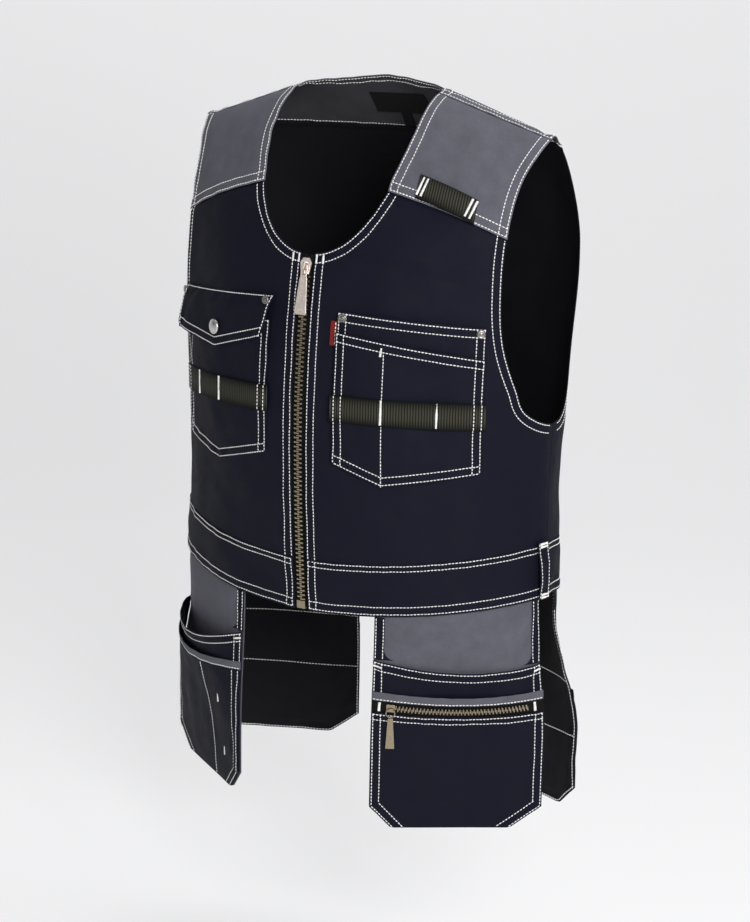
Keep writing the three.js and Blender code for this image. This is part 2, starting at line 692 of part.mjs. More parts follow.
// A row of teeth on a spine, one cell to each tooth, so that it can bend. x runs from the teeth's tips to
// the spine's back, y along the row and z out of the cloth
function comb({ start, end, pitch, tooth, reach, root, spine, low, high }) {
  const count = Math.floor((end - start - tooth) / pitch) + 1;
  const positions = [];
  const index = [];
  const corner = (x, y) => {
    positions.push(x, y, low, x, y, high);
    return positions.length / 6 - 1;
  };
  const wall = (a, b) => index.push(2 * a, 2 * b, 2 * b + 1, 2 * a, 2 * b + 1, 2 * a + 1);
  const face = (...ring) => {
    for (let i = 1; i < ring.length - 1; i += 1) {
      index.push(2 * ring[0] + 1, 2 * ring[i] + 1, 2 * ring[i + 1] + 1);
      index.push(2 * ring[0], 2 * ring[i + 1], 2 * ring[i]);
    }
  };
  let back = corner(spine, start);
  let foot = corner(root, start);
  wall(foot, back);
  for (let i = 0; i < count; i += 1) {
    const from = start + i * pitch;
    const isLast = i === count - 1;
    const to = isLast ? from + tooth : from + pitch;
    const tipFoot = corner(-reach, from);
    const tipTop = corner(-reach, from + tooth);
    const rootTop = corner(root, from + tooth);
    const nextBack = corner(spine, to);
    const nextFoot = isLast ? rootTop : corner(root, to);
    face(tipFoot, foot, rootTop, tipTop);
    if (isLast) face(rootTop, foot, back, nextBack);
    else face(rootTop, foot, back, nextBack, nextFoot);
    wall(tipFoot, foot);
    wall(tipTop, tipFoot);
    wall(rootTop, tipTop);
    wall(back, nextBack);
    if (!isLast) wall(nextFoot, rootTop);
    back = nextBack;
    foot = nextFoot;
  }
  wall(back, foot);
  const geometry = new THREE.BufferGeometry();
  geometry.setAttribute("position", new THREE.Float32BufferAttribute(positions, 3));
  geometry.setIndex(index);
  return geometry;
}
const onFront = (p) => {
  const { point, normal } = bodyFrame(turnAtX(Math.abs(p.x), p.y), p.y);
  if (p.x < 0) {
    point.x *= -1;
    normal.x *= -1;
  }
  point.x = p.x;
  return point.addScaledVector(normal, p.z);
};

function mainTeeth(start, end) {
  const row = comb({
    start,
    end,
    pitch: TOOTH_PITCH,
    tooth: TOOTH_HEIGHT,
    reach: TOOTH_REACH,
    root: TOOTH_ROOT,
    spine: TOOTH_SPINE,
    low: TEETH_BACK,
    high: TOOTH_PROUD,
  });
  return reshaped(row, onFront);
}

addPair("zip_tape", zipTape(), BLACK_TAPE);
const TEETH_START = BOX_TOP + RUNNING_GAP;
add("zip_teeth_left", mainTeeth(TEETH_START, TEETH_TOP), BRASS);
add("zip_teeth_right", mirrored(mainTeeth(TEETH_START + TOOTH_PITCH / 2, TEETH_TOP)), BRASS);
add(
  "zip_retainer_box",
  reshaped(
    extruded(blockOutline(-BOX_HALF_WIDTH, BOX_HALF_WIDTH, BOX_BOTTOM, BOX_TOP), TEETH_BACK, BOX_PROUD),
    onFront,
  ),
  BRASS,
);

// Slider and pull share a flat frame at the slider's middle: x across, y up the zip and z out of it
const sliderSeat = bodyFrame(0, SLIDER_HEIGHT);
const sliderOut = new THREE.Vector3(0, sliderSeat.normal.y, sliderSeat.normal.z).normalize();
const sliderUp = new THREE.Vector3().crossVectors(sliderOut, new THREE.Vector3(1, 0, 0));
const sliderMatrix = new THREE.Matrix4()
  .makeBasis(new THREE.Vector3(1, 0, 0), sliderUp, sliderOut)
  .setPosition(new THREE.Vector3(0, sliderSeat.point.y, SLIDER_HEIGHT));
const inSliderFrame = (geometry) => reshaped(geometry, (p) => p.applyMatrix4(sliderMatrix));

const PLATE_BACK = TOOTH_PROUD + RUNNING_GAP;
const PLATE_FACE = PLATE_BACK + SLIDER_PLATE;
const BACK_PLATE_FACE = TAPE_OUTSIDE - TAPE_CLOTH - RUNNING_GAP;
const PULL_BAR_SWING = Math.hypot(PULL_BAR, PULL_THICKNESS) / 2;
const PIVOT_OUT = PLATE_FACE + RUNNING_GAP + PULL_BAR_SWING;
const BAIL_TOP = PIVOT_OUT + PULL_BAR_SWING + RUNNING_GAP + BAIL_BAR;

function zipSlider() {
  const length = SLIDER_HALF_LENGTH;
  const plate = [
    [-SLIDER_HALF_WIDTH_FOOT, -length],
    [SLIDER_HALF_WIDTH_FOOT, -length],
    [SLIDER_HALF_WIDTH_TOP, length * SLIDER_SHOULDER_SHARE],
    [SLIDER_HALF_WIDTH_TOP * SLIDER_TIP_SHARE, length],
    [-SLIDER_HALF_WIDTH_TOP * SLIDER_TIP_SHARE, length],
    [-SLIDER_HALF_WIDTH_TOP, length * SLIDER_SHOULDER_SHARE],
  ];
  const neck = blockOutline(-SLIDER_NECK_HALF, SLIDER_NECK_HALF, length - SLIDER_NECK_LENGTH, length - WELD);
  const bail = new THREE.ExtrudeGeometry(
    new THREE.Shape(
      [
        [-BAIL_HALF_LENGTH, PLATE_FACE - WELD],
        [-BAIL_HALF_LENGTH + BAIL_BAR, PLATE_FACE - WELD],
        [-BAIL_HALF_LENGTH + BAIL_BAR, BAIL_TOP - BAIL_BAR],
        [BAIL_HALF_LENGTH - BAIL_BAR, BAIL_TOP - BAIL_BAR],
        [BAIL_HALF_LENGTH - BAIL_BAR, PLATE_FACE - WELD],
        [BAIL_HALF_LENGTH, PLATE_FACE - WELD],
        [BAIL_HALF_LENGTH, BAIL_TOP - BAIL_BAR],
        [BAIL_HALF_LENGTH - BAIL_BAR, BAIL_TOP],
        [-BAIL_HALF_LENGTH + BAIL_BAR, BAIL_TOP],
        [-BAIL_HALF_LENGTH, BAIL_TOP - BAIL_BAR],
      ].map(([up, out]) => new THREE.Vector2(up, out)),
    ),
    { depth: 2 * BAIL_HALF_WIDTH, bevelEnabled: false },
  );
  const upright = reshaped(bail, (p) => new THREE.Vector3(p.z - BAIL_HALF_WIDTH, p.x, p.y));
  return inSliderFrame(
    joined([
      extruded(plate, PLATE_BACK, PLATE_FACE),
      extruded(plate, BACK_PLATE_FACE - SLIDER_PLATE, BACK_PLATE_FACE),
      extruded(neck, BACK_PLATE_FACE - WELD, PLATE_BACK + WELD),
      upright,
    ]),
  );
}

// The pull lies on the slider and the teeth: the lean that brings its nearest point to the running gap
function pullLean() {
  const inverse = sliderMatrix.clone().invert();
  const underside = PIVOT_OUT - PULL_THICKNESS / 2;
  const leans = evenSteps(12)
    .slice(4)
    .map((share) => {
      const distance = PULL_LENGTH * share;
      const chain = onFront(new THREE.Vector3(0, SLIDER_HEIGHT - distance, TOOTH_PROUD)).applyMatrix4(inverse);
      return Math.asin((underside - RUNNING_GAP - chain.z) / distance);
    });
  const onSlider = Math.asin((underside - RUNNING_GAP - PLATE_FACE) / (SLIDER_HALF_LENGTH + PULL_BAR));
  return Math.min(onSlider, ...leans);
}

function zipPull() {
  const top = PULL_BAR / 2;
  const window = blockOutline(
    -BAIL_HALF_WIDTH - RUNNING_GAP,
    BAIL_HALF_WIDTH + RUNNING_GAP,
    -PULL_FRAME_LENGTH + PULL_FRAME_BAR,
    -PULL_BAR / 2,
  );
  const rightSide = [
    [PULL_HALF_END - PULL_CORNER, -PULL_LENGTH],
    [PULL_HALF_END, -PULL_LENGTH + PULL_CORNER],
    [PULL_FRAME_HALF + PULL_WAIST, -PULL_FRAME_LENGTH - PULL_WAIST],
    [PULL_FRAME_HALF, -PULL_FRAME_LENGTH + PULL_WAIST],
    [PULL_FRAME_HALF, top],
  ];
  const leftSide = rightSide.map(([x, y]) => [-x, y]).reverse();
  const outline = [...rightSide, ...leftSide];
  const plate = extruded(outline, -PULL_THICKNESS / 2, PULL_THICKNESS / 2, window);
  const lean = new THREE.Matrix4().makeRotationX(pullLean());
  const seat = new THREE.Matrix4().makeTranslation(0, 0, PIVOT_OUT);
  return inSliderFrame(reshaped(plate, (p) => p.applyMatrix4(lean).applyMatrix4(seat)));
}

add("zip_slider", zipSlider(), BRASS);
add("zip_pull", zipPull(), NICKEL);

// Chest pockets. A patch is a strip of the body between two heights that both depend on the share across
const pocketDistance = (u) => POCKET_INNER + POCKET_WIDTH * u;
function vertexed(u, vertexShare, inner, vertex, outer) {
  return u < vertexShare
    ? mix(inner, vertex, u / vertexShare)
    : mix(vertex, outer, (u - vertexShare) / (1 - vertexShare));
}
const pocketSwell = (u, height) => {
  const rise = clamp((height - POCKET_VERTEX) / (POCKET_TOP_OUTER - POCKET_VERTEX));
  return Math.sin(Math.PI * clamp(u)) ** SWELL_ROUNDNESS * rise;
};
const tallLift = (u, height) => LAYER_GAP + PATCH_CLOTH + POCKET_BULGE * pocketSwell(u, height);
const shortLift = (u, height) =>
  tallLift(u, height) + LAYER_GAP + PATCH_CLOTH + SHORT_LAYER_BULGE * pocketSwell(u, height);

function bodyPatch({ distance, bottom, top, columns, rows, lift, thickness }) {
  const heightAt = (u, v) => mix(bottom(u), top(u), v);
  return sheet({
    columns,
    rows,
    place: (u, v) => girthFrame(distance(u, v), heightAt(u, v)),
    outer: (u, v) => lift(u, heightAt(u, v)),
    thickness,
  });
}

const pocketColumns = (vertexShare) => distinct([...evenSteps(9), vertexShare, 0.02, 0.98]);
function patchPocket(vertexShare, top, lift) {
  return bodyPatch({
    distance: pocketDistance,
    bottom: (u) => vertexed(u, vertexShare, POCKET_BOTTOM_INNER, POCKET_VERTEX, POCKET_BOTTOM_OUTER),
    top,
    columns: pocketColumns(vertexShare),
    rows: evenSteps(5),
    lift,
    thickness: PATCH_CLOTH,
  });
}

// A strap of webbing over a pocket; its ends stand past the pocket's sides
function pocketStrap(under, vertexShare) {
  const overhang = STRAP_OVERHANG / POCKET_WIDTH;
  return bodyPatch({
    distance: pocketDistance,
    bottom: (u) => mix(STRAP_INNER, STRAP_OUTER, u),
    top: (u) => mix(STRAP_INNER, STRAP_OUTER, u) + STRAP_HEIGHT,
    columns: [-overhang, ...pocketColumns(vertexShare), 1 + overhang],
    rows: evenSteps(2),
    lift: (u, height) => under(u, height) + LAYER_GAP + WEBBING,
    thickness: WEBBING,
  });
}

// A cap standing on a layer whose lift is known round it
function capOnLayer(radius, height, distance, up, liftThere) {
  const { point, normal } = girthFrame(distance, up);
  const seat = point.clone().addScaledVector(normal, liftThere + TRIM_GAP);
  return standingOn(cap(radius, height), seat, normal);
}

const tallTop = (u) => mix(POCKET_TOP_INNER, POCKET_TOP_OUTER, u);
const shortTop = (u) => tallTop(u) - mix(SHORT_LAYER_DROP_INNER, SHORT_LAYER_DROP_OUTER, u);

function leftChestPocket() {
  add("chest_pocket_left_inner", patchPocket(POCKET_VERTEX_SHARE, tallTop, tallLift), NAVY);
  add("chest_pocket_left_outer", patchPocket(POCKET_VERTEX_SHARE, shortTop, shortLift), NAVY);
  add("chest_webbing_left", pocketStrap(shortLift, POCKET_VERTEX_SHARE), BLACK_WEBBING);
  const inset = RIVET_INSET / POCKET_WIDTH;
  [
    ["chest_rivet_left_inner", inset],
    ["chest_rivet_left_outer", 1 - inset],
  ].forEach(([name, u]) => {
    const up = tallTop(u) - RIVET_INSET;
    const lift = Math.max(tallLift(u - 0.02, up), tallLift(u + 0.02, up)) + TRIM_SAG;
    add(name, capOnLayer(RIVET_RADIUS, RIVET_HEIGHT, pocketDistance(u), up, lift), NICKEL);
  });
  const tabTop = POCKET_TOP_INNER - TAB_BELOW_TOP;
  const tab = bodyPatch({
    distance: (u) => POCKET_INNER - SEAM_GAP - TAB_WIDTH * (1 - u),
    bottom: () => tabTop - TAB_HEIGHT,
    top: () => tabTop,
    columns: [0, 1],
    rows: [0, 0.5, 1],
    lift: () => LAYER_GAP + PATCH_CLOTH,
    thickness: PATCH_CLOTH,
  });
  add("side_tab", tab, TAB_RED);
}

// The flap's lift grows below its seam until it clears the pocket, and its outer corner flares
const flapTop = (u) => mix(FLAP_TOP_INNER, FLAP_TOP_OUTER, u);
const flapBottom = (u) => vertexed(u, FLAPPED_VERTEX_SHARE, FLAP_SIDE_INNER, FLAP_VERTEX, FLAP_SIDE_OUTER);
const FLAP_CLEAR = POCKET_BULGE + PATCH_CLOTH + 2 * LAYER_GAP;
const flapLift = (u, height) => {
  const below = flapTop(u) - height;
  const flare = FLAP_FLARE * clamp(u) ** 3 * ease(below / FLAP_FLARE_LENGTH);
  return LAYER_GAP + PATCH_CLOTH + FLAP_CLEAR * ease(below / FLAP_CLEAR_LENGTH) + flare;
};
const flapDistance = (u, v) => {
  const taper = FLAP_TAPER * (1 - v);
  return POCKET_INNER - FLAP_OVERHANG + taper + (POCKET_WIDTH + 2 * (FLAP_OVERHANG - taper)) * u;
};

function rightChestPocket() {
  const pocket = patchPocket(FLAPPED_VERTEX_SHARE, () => FLAPPED_POCKET_TOP, tallLift);
  add("chest_pocket_right", mirrored(pocket), NAVY);
  add("chest_webbing_right", mirrored(pocketStrap(tallLift, FLAPPED_VERTEX_SHARE)), BLACK_WEBBING);
  const flap = bodyPatch({
    distance: flapDistance,
    bottom: flapBottom,
    top: flapTop,
    columns: distinct([...evenSteps(10), FLAPPED_VERTEX_SHARE]),
    rows: [0, 0.25, 0.5, 0.66, 0.78, 0.9, 1],
    lift: flapLift,
    thickness: PATCH_CLOTH,
  });
  add("chest_pocket_flap", mirrored(flap), NAVY);
  const share = FLAPPED_VERTEX_SHARE;
  const snapUp = flapTop(share) - SNAP_BELOW_TOP;
  const snapDistance = pocketDistance(share);
  const snapLift = flapLift(share + SNAP_RADIUS / POCKET_WIDTH, snapUp - SNAP_RADIUS) + TRIM_SAG;
  add("flap_snap", mirrored(capOnLayer(SNAP_RADIUS, SNAP_HEIGHT, snapDistance, snapUp, snapLift)), NICKEL);
  const reach = RIVET_INSET / POCKET_WIDTH;
  [
    ["flap_rivet_inner", reach],
    ["flap_rivet_outer", 1 - reach],
  ].forEach(([name, u]) => {
    const up = flapTop(u) - RIVET_INSET;
    const lift = flapLift(u, up - RIVET_RADIUS) + TRIM_SAG;
    add(name, mirrored(capOnLayer(RIVET_RADIUS, RIVET_HEIGHT, flapDistance(u, 0.9), up, lift)), NICKEL);
  });
}

leftChestPocket();
rightChestPocket();

// Neck label and size tab, inside the back yoke
function insideBackYoke(width, top, height) {
  return sheet({
    columns: evenSteps(4),
    rows: [0, 0.5, 1],
    place: (u, v) => {
      const x = mix(-width / 2, width / 2, u);
      return shoulderFrame(x, leanAt(x, mix(top, top - height, v), false));
    },
    outer: () => -CLOTH - LAYER_GAP,
    thickness: LABEL_CLOTH,
  });
}
const LABEL_TOP = NAPE - LABEL_BELOW_NAPE;
add("neck_label", insideBackYoke(LABEL_WIDTH, LABEL_TOP, LABEL_HEIGHT), LABEL);
add(
  "size_tab",
  insideBackYoke(SIZE_TAB_WIDTH, LABEL_TOP - LABEL_HEIGHT - SEAM_GAP, SIZE_TAB_HEIGHT),
  LABEL,
);

// Webbing loop above the front yoke seam on the wearer's left
function shoulderWebbing() {
  return sheet({
    columns: evenSteps(6),
    rows: [0, 0.5, 1],
    place: (u, v) => {
      const x = mix(SHOULDER_STRAP_INNER, SHOULDER_STRAP_OUTER, u);
      const share = (x - NECK_HALF_WIDTH) / (armholeX(frontSeamHeight(1), true) - NECK_HALF_WIDTH);
      const height = frontSeamHeight(share) + 2 * SEAM_GAP + SHOULDER_STRAP_WIDTH * v;
      return shoulderFrame(x, leanAt(x, height, true));
    },
    outer: (u) => LAYER_GAP + WEBBING + SHOULDER_STRAP_RISE * Math.sin(Math.PI * u),
    thickness: WEBBING,
  });
}
add("shoulder_webbing", shoulderWebbing(), BLACK_WEBBING);

function beltLoop() {
  const side = halfGirth(0) - halfGirthBehind(0);
  const middle = side - LOOP_FROM_SIDE;
  return bodyPatch({
    distance: (u) => middle + LOOP_WIDTH * (u - 0.5),
    bottom: () => hemHeight(90) - LOOP_END_GAP / 2,
    top: () => hemHeight(90) + BAND_HEIGHT + LOOP_END_GAP,
    columns: [0, 1],
    rows: evenSteps(8),
    lift: (u, height) => {
      const share = clamp((height - hemHeight(90)) / BAND_HEIGHT);
      return BAND_PROUD + LAYER_GAP + WEBBING + LOOP_STANDOFF * Math.sin(Math.PI * share);
    },
    thickness: WEBBING,
  });
}
function halfGirthBehind(height) {
  const points = evenSteps(GIRTH_STEPS).map((share) => bodyPoint(90 + 90 * share, height));
  return points.slice(1).reduce((sum, point, i) => sum + point.distanceTo(points[i]), 0);
}
addPair("belt_loop", beltLoop(), NAVY);

// A holster hangs from behind the waistband. It follows the body at the hem and is flat further down
const HOLSTER_OUTSIDE = BAND_INSIDE - BEHIND_GAP;
function hangingSurface(middle) {
  const seat = girthFrame(middle, 0);
  const out = new THREE.Vector3(seat.normal.x, seat.normal.y, 0).normalize();
  const along = new THREE.Vector3(-out.y, out.x, 0);
  const plane = seat.point.clone().addScaledVector(out, HOLSTER_OUTSIDE - HANG_INSET);
  return (across, drop) => {
    const upper = girthFrame(middle + across, Math.max(0, -drop));
    const curved = upper.point.addScaledVector(upper.normal, HOLSTER_OUTSIDE);
    const level = plane.clone().addScaledVector(along, across);
    const point = curved.lerp(level, ease(Math.max(0, drop) / HANG_LENGTH));
    point.z = -drop;
    return point;
  };
}
const holsterFrameOn = (surface) => (across, drop) =>
  framed((a, up) => surface(a, -up), across, -drop, SLOPE_LENGTH, SLOPE_LENGTH);

const acrossAt = (u) => mix(-HOLSTER_HALF_WIDTH, HOLSTER_HALF_WIDTH, u);
function cornerDrop(u) {
  const fromInner = HOLSTER_HALF_WIDTH + acrossAt(u);
  const fromOuter = HOLSTER_HALF_WIDTH - acrossAt(u);
  const cut = Math.max(1 - fromInner / CORNER_INNER, 1 - fromOuter / CORNER_OUTER, 0);
  return HOLSTER_LENGTH - CORNER_DROP * cut;
}
const holsterColumns = distinct([
  ...evenSteps(7),
  CORNER_INNER / (2 * HOLSTER_HALF_WIDTH),
  1 - CORNER_OUTER / (2 * HOLSTER_HALF_WIDTH),
]);

// One layer of a holster between two drops that depend on the share across. Between them every layer
// bends at the same levels, so that none cuts into the next
const holsterLevels = evenSteps(HANG_STEPS).map((share) => (1 - share) * HANG_LENGTH);
function holsterLayer(frame, { low, high, lift, thickness, columns = holsterColumns }) {
  const lowest = Math.min(...columns.map(low)) - LEVEL_MARGIN;
  const highest = Math.max(...columns.map(high)) + LEVEL_MARGIN;
  const between = holsterLevels.filter((level) => level < lowest && level > highest);
  const drops = [low, ...between.map((level) => () => level), high];
  return sheet({
    columns,
    rows: drops.map((_, row) => row),
    place: (u, row) => frame(acrossAt(u), drops[row](u)),
    outer: (u, row) => lift(u, drops[row](u)),
    thickness,
  });
}

// Swell of a layer that is sewn at its sides and foot, one at the middle of its mouth
const swell = (u, drop, mouth) =>
  Math.sin(Math.PI * u) ** SWELL_ROUNDNESS * clamp((HOLSTER_LENGTH - drop) / (HOLSTER_LENGTH - mouth));
const panelLift = () => 0;

function holsterPanel(frame) {
  return holsterLayer(frame, {
    low: cornerDrop,
    high: () => -HOLSTER_TUCK,
    lift: panelLift,
    thickness: CLOTH,
  });
}

function sideBand(frame, isInner) {
  const share = SIDE_BAND_WIDTH / (2 * HOLSTER_HALF_WIDTH);
  const hem = (u) => hemHeight(turnAtGirth(FRONT_HOLSTER_MIDDLE + acrossAt(u), 0));
  return holsterLayer(frame, {
    low: () => SIDE_BAND_LENGTH,
    high: (u) => 2 * SEAM_GAP - hem(u),
    lift: () => LAYER_GAP + PATCH_CLOTH,
    thickness: PATCH_CLOTH,
    columns: isInner ? [0, share] : [1 - share, 1],
  });
}

// Mouth of the upper pouch: it dips between its ends
const mouthDrop = (dip, inner, outer) => (u) => MOUTH_DROP + mix(inner, outer, u) + dip * Math.sin(Math.PI * u);
const FRONT_HOLSTERS = [
  { side: "left", dip: 8, inner: -3, outer: 3, upperSwell: 3, lowerSwell: 1.5 },
  { side: "right", dip: 14, inner: -3, outer: 8, upperSwell: 22, lowerSwell: 5 },
];

function frontHolster({ side, dip, inner, outer, upperSwell, lowerSwell }) {
  const frame = holsterFrameOn(hangingSurface(FRONT_HOLSTER_MIDDLE));
  const flip = (geometry) => (side === "right" ? mirrored(geometry) : geometry);
  const upperLift = (u, drop) => LAYER_GAP + PATCH_CLOTH + upperSwell * swell(u, drop, MOUTH_DROP);
  const lowerBase = (u, drop) => upperLift(u, drop) + lowerSwell * swell(u, drop, BINDING_DROP);
  const hasZip = side === "left";
  const underCover = hasZip ? LAYER_GAP + TAPE_CLOTH : 0;
  const coverLift = (u, drop) => lowerBase(u, drop) + underCover + LAYER_GAP + PATCH_CLOTH;
  const bindingTop = (u) => BINDING_DROP + BINDING_DIP * Math.sin(Math.PI * u);
  const bindingFoot = (u) => bindingTop(u) + BINDING_HEIGHT;
  const pouchTop = (u) => bindingFoot(u) + (hasZip ? ZIP_SLOT_HEIGHT : SEAM_GAP);
  const name = (piece) => `holster_front_${side}_${piece}`;
  add(name("panel"), flip(holsterPanel(frame)), GREY);
  add(name("band_inner"), flip(sideBand(frame, true)), NAVY);
  add(name("band_outer"), flip(sideBand(frame, false)), NAVY);
  const upper = { low: cornerDrop, high: mouthDrop(dip, inner, outer), lift: upperLift, thickness: PATCH_CLOTH };
  add(name("upper_pouch"), flip(holsterLayer(frame, upper)), NAVY);
  const binding = { low: bindingFoot, high: bindingTop, lift: coverLift, thickness: PATCH_CLOTH };
  add(name("binding"), flip(holsterLayer(frame, binding)), GREY);
  const lower = { low: cornerDrop, high: pouchTop, lift: coverLift, thickness: PATCH_CLOTH };
  add(name("lower_pouch"), flip(holsterLayer(frame, lower)), NAVY);
  if (hasZip) holsterZip(frame, name, bindingFoot, lowerBase);
}

// Zip across the front left holster
function holsterZip(frame, name, slotTop, base) {
  const tapeLift = (u, drop) => base(u, drop) + LAYER_GAP + TAPE_CLOTH;
  const tape = {
    low: (u) => slotTop(u) + ZIP_SLOT_HEIGHT + ZIP_TUCK,
    high: (u) => slotTop(u) - ZIP_TUCK,
    lift: tapeLift,
    thickness: TAPE_CLOTH,
  };
  add(name("zip_tape"), holsterLayer(frame, tape), BLACK_TAPE);
  const middle = (across) => slotTop((across + HOLSTER_HALF_WIDTH) / (2 * HOLSTER_HALF_WIDTH)) + ZIP_SLOT_HEIGHT / 2;
  const onTape = (across, down, out) => {
    const drop = middle(across) + down;
    const u = (across + HOLSTER_HALF_WIDTH) / (2 * HOLSTER_HALF_WIDTH);
    const { point, normal } = frame(across, drop);
    return point.addScaledVector(normal, tapeLift(u, drop) + out);
  };
  const span = HOLSTER_HALF_WIDTH - ZIP_INSET;
  const teethFrom = -span + SMALL_SLIDER + RUNNING_GAP;
  const row = (sign, start) => {
    const teeth = comb({
      start,
      end: span,
      pitch: SMALL_PITCH,
      tooth: SMALL_TOOTH,
      reach: SMALL_REACH,
      root: SMALL_SPINE - SMALL_SPINE_WIDTH,
      spine: SMALL_SPINE,
      low: SEAM_GAP,
      high: SEAM_GAP + SMALL_THICKNESS,
    });
    const bent = reshaped(teeth, (p) => onTape(p.y, sign * p.x, p.z));
    return sign > 0 ? bent : turnedInsideOut(bent);
  };
  add(name("zip_teeth_upper"), row(-1, teethFrom), BRASS);
  add(name("zip_teeth_lower"), row(1, teethFrom + SMALL_PITCH / 2), BRASS);
  const sliderTop = SEAM_GAP + SMALL_SLIDER_HEIGHT;
  const block = extruded(
    blockOutline(-span, -span + SMALL_SLIDER, -SMALL_SLIDER_HALF, SMALL_SLIDER_HALF),
    SEAM_GAP,
    sliderTop,
  );
  add(name("zip_slider"), reshaped(block, (p) => onTape(p.x, -p.y, p.z)), BRASS);
  const hook = -span + SMALL_SLIDER / 2;
  const seat = frame(hook, middle(hook));
  const face = tapeLift((hook + HOLSTER_HALF_WIDTH) / (2 * HOLSTER_HALF_WIDTH), middle(hook)) + sliderTop;
  const out = new THREE.Vector3(seat.normal.x, seat.normal.y, 0).normalize();
  const along = new THREE.Vector3(-out.y, out.x, 0);
  const hang = (side, down, proud) =>
    seat.point
      .clone()
      .addScaledVector(seat.normal, face)
      .addScaledVector(along, side)
      .addScaledVector(out, proud)
      .add(new THREE.Vector3(0, 0, -down));
  const ring = new THREE.TorusGeometry(SMALL_RING_RADIUS, SMALL_RING_BAR, 6, 16);
  const ringOut = SEAM_GAP + SMALL_RING_BAR;
  add(name("zip_ring"), reshaped(ring, (p) => hang(p.x, SMALL_RING_RADIUS - p.y, ringOut + p.z)), BRASS);
  const pullTop = 2 * SMALL_RING_RADIUS + SMALL_RING_BAR + RUNNING_GAP;
  const foot = pullTop + SMALL_PULL_LENGTH;
  const tab = extruded(
    [
      [-SMALL_PULL_HALF_TOP, -pullTop],
      [-SMALL_PULL_HALF_END, -foot],
      [SMALL_PULL_HALF_END, -foot],
      [SMALL_PULL_HALF_TOP, -pullTop],
    ],
    ringOut - SMALL_RING_BAR,
    ringOut + SMALL_RING_BAR,
  );
  add(name("zip_pull"), reshaped(tab, (p) => hang(p.x, -p.y, p.z)), BRASS);
}

function turnedInsideOut(geometry) {
  const index = [...geometry.index.array];
  for (let i = 0; i < index.length; i += 3) [index[i + 1], index[i + 2]] = [index[i + 2], index[i + 1]];
  geometry.setIndex(index);
  return geometry;
}

function backHolsters() {
  const frame = holsterFrameOn(hangingSurface(halfGirth(0) - BACK_HOLSTER_MIDDLE));
  const pouch = {
    low: cornerDrop,
    high: () => BACK_MOUTH_DROP,
    lift: (u, drop) => LAYER_GAP + PATCH_CLOTH + BACK_SWELL * swell(u, drop, BACK_MOUTH_DROP),
    thickness: PATCH_CLOTH,
  };
  addPair("holster_back_panel", holsterPanel(frame), NAVY);
  addPair("holster_back_pouch", holsterLayer(frame, pouch), NAVY);
}

FRONT_HOLSTERS.forEach(frontHolster);
backHolsters();

// The origin lies between the shoulders, at the height where the yokes rest on the wearer
const SHOULDER_REST = ridgeHeight((NECK_HALF_WIDTH + SHOULDER_HALF_WIDTH) / 2) - CLOTH;
group.position.z = -SHOULDER_REST;

export default group;
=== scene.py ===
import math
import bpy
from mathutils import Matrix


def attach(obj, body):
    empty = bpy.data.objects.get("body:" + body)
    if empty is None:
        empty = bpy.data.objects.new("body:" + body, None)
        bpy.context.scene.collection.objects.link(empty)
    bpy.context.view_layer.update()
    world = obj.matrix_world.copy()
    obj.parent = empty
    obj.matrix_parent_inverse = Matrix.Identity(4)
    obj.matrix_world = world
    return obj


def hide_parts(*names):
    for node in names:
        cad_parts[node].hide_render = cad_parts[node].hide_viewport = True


bl_info = {
    "name": "Work Vest",
    "version": (1, 0, 0),
    "blender": (4, 5, 0),
    "location": "View3D > Sidebar > Work Vest",
    "description": "Dresses the frame of a sleeveless work vest in cloth, webbing, zips and stitches",
    "category": "Object",
}

import bpy
import numpy as np
from bpy.props import FloatProperty, FloatVectorProperty, PointerProperty
from mathutils import Matrix, Vector

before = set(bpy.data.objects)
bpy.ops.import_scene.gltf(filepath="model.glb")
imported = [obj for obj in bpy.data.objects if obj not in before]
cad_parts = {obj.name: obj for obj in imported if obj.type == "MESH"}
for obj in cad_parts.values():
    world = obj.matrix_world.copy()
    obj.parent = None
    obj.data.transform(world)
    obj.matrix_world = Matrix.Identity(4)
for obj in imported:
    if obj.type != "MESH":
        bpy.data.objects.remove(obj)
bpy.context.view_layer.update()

# Lengths are in millimetres, with heights counted from the hem at the centre front, and are turned into
# the frame's metres where a mesh is made
MM = 0.001

# Sizes of the body
CHEST_HALF_WIDTH = 251
FRONT_DEPTH = 152
BACK_DEPTH = 128
NECK_POINT = 582
NECK_HALF_WIDTH = 92
SHOULDER_HALF_WIDTH = 226
SHOULDER_DROP = 45
SPRING_HEIGHT = NECK_POINT - 165
ZIP_TOP = NECK_POINT - 175
NECK_CURVE_TOP = NECK_POINT - 23
NAPE = NECK_POINT + 11
BACK_SEAM = NECK_POINT - 54
ARMHOLE_DEPTH = 315
FRONT_SEAM_NECK = NECK_POINT - 104
FRONT_SEAM_ARM = NECK_POINT - 150
FRONT_SEAM_BOW = 3
SHOULDER_SEAM_LEAN = 80
HEM_RISE = 23
BAND_HEIGHT = 62
FRONT_ROUNDNESS, BACK_ROUNDNESS = 1.87, 2.69
FRONT_ARCH, BACK_ARCH = 2.0, 1.7
NECKLINE_ROUNDNESS = 2.17

# Body sections, as shares of the neck point's height, the half width and the depths
SECTION_HEIGHT = (0, 0.223, 0.464, 0.67, 0.825, 1.031)
SECTION_WIDTH = (0.96, 0.943, 0.959, 1, 0.988, 0.925)
SECTION_FRONT = (0.928, 0.993, 1, 0.914, 0.776, 0.69)
SECTION_BACK = (0.918, 0.887, 0.922, 1, 0.97, 0.86)

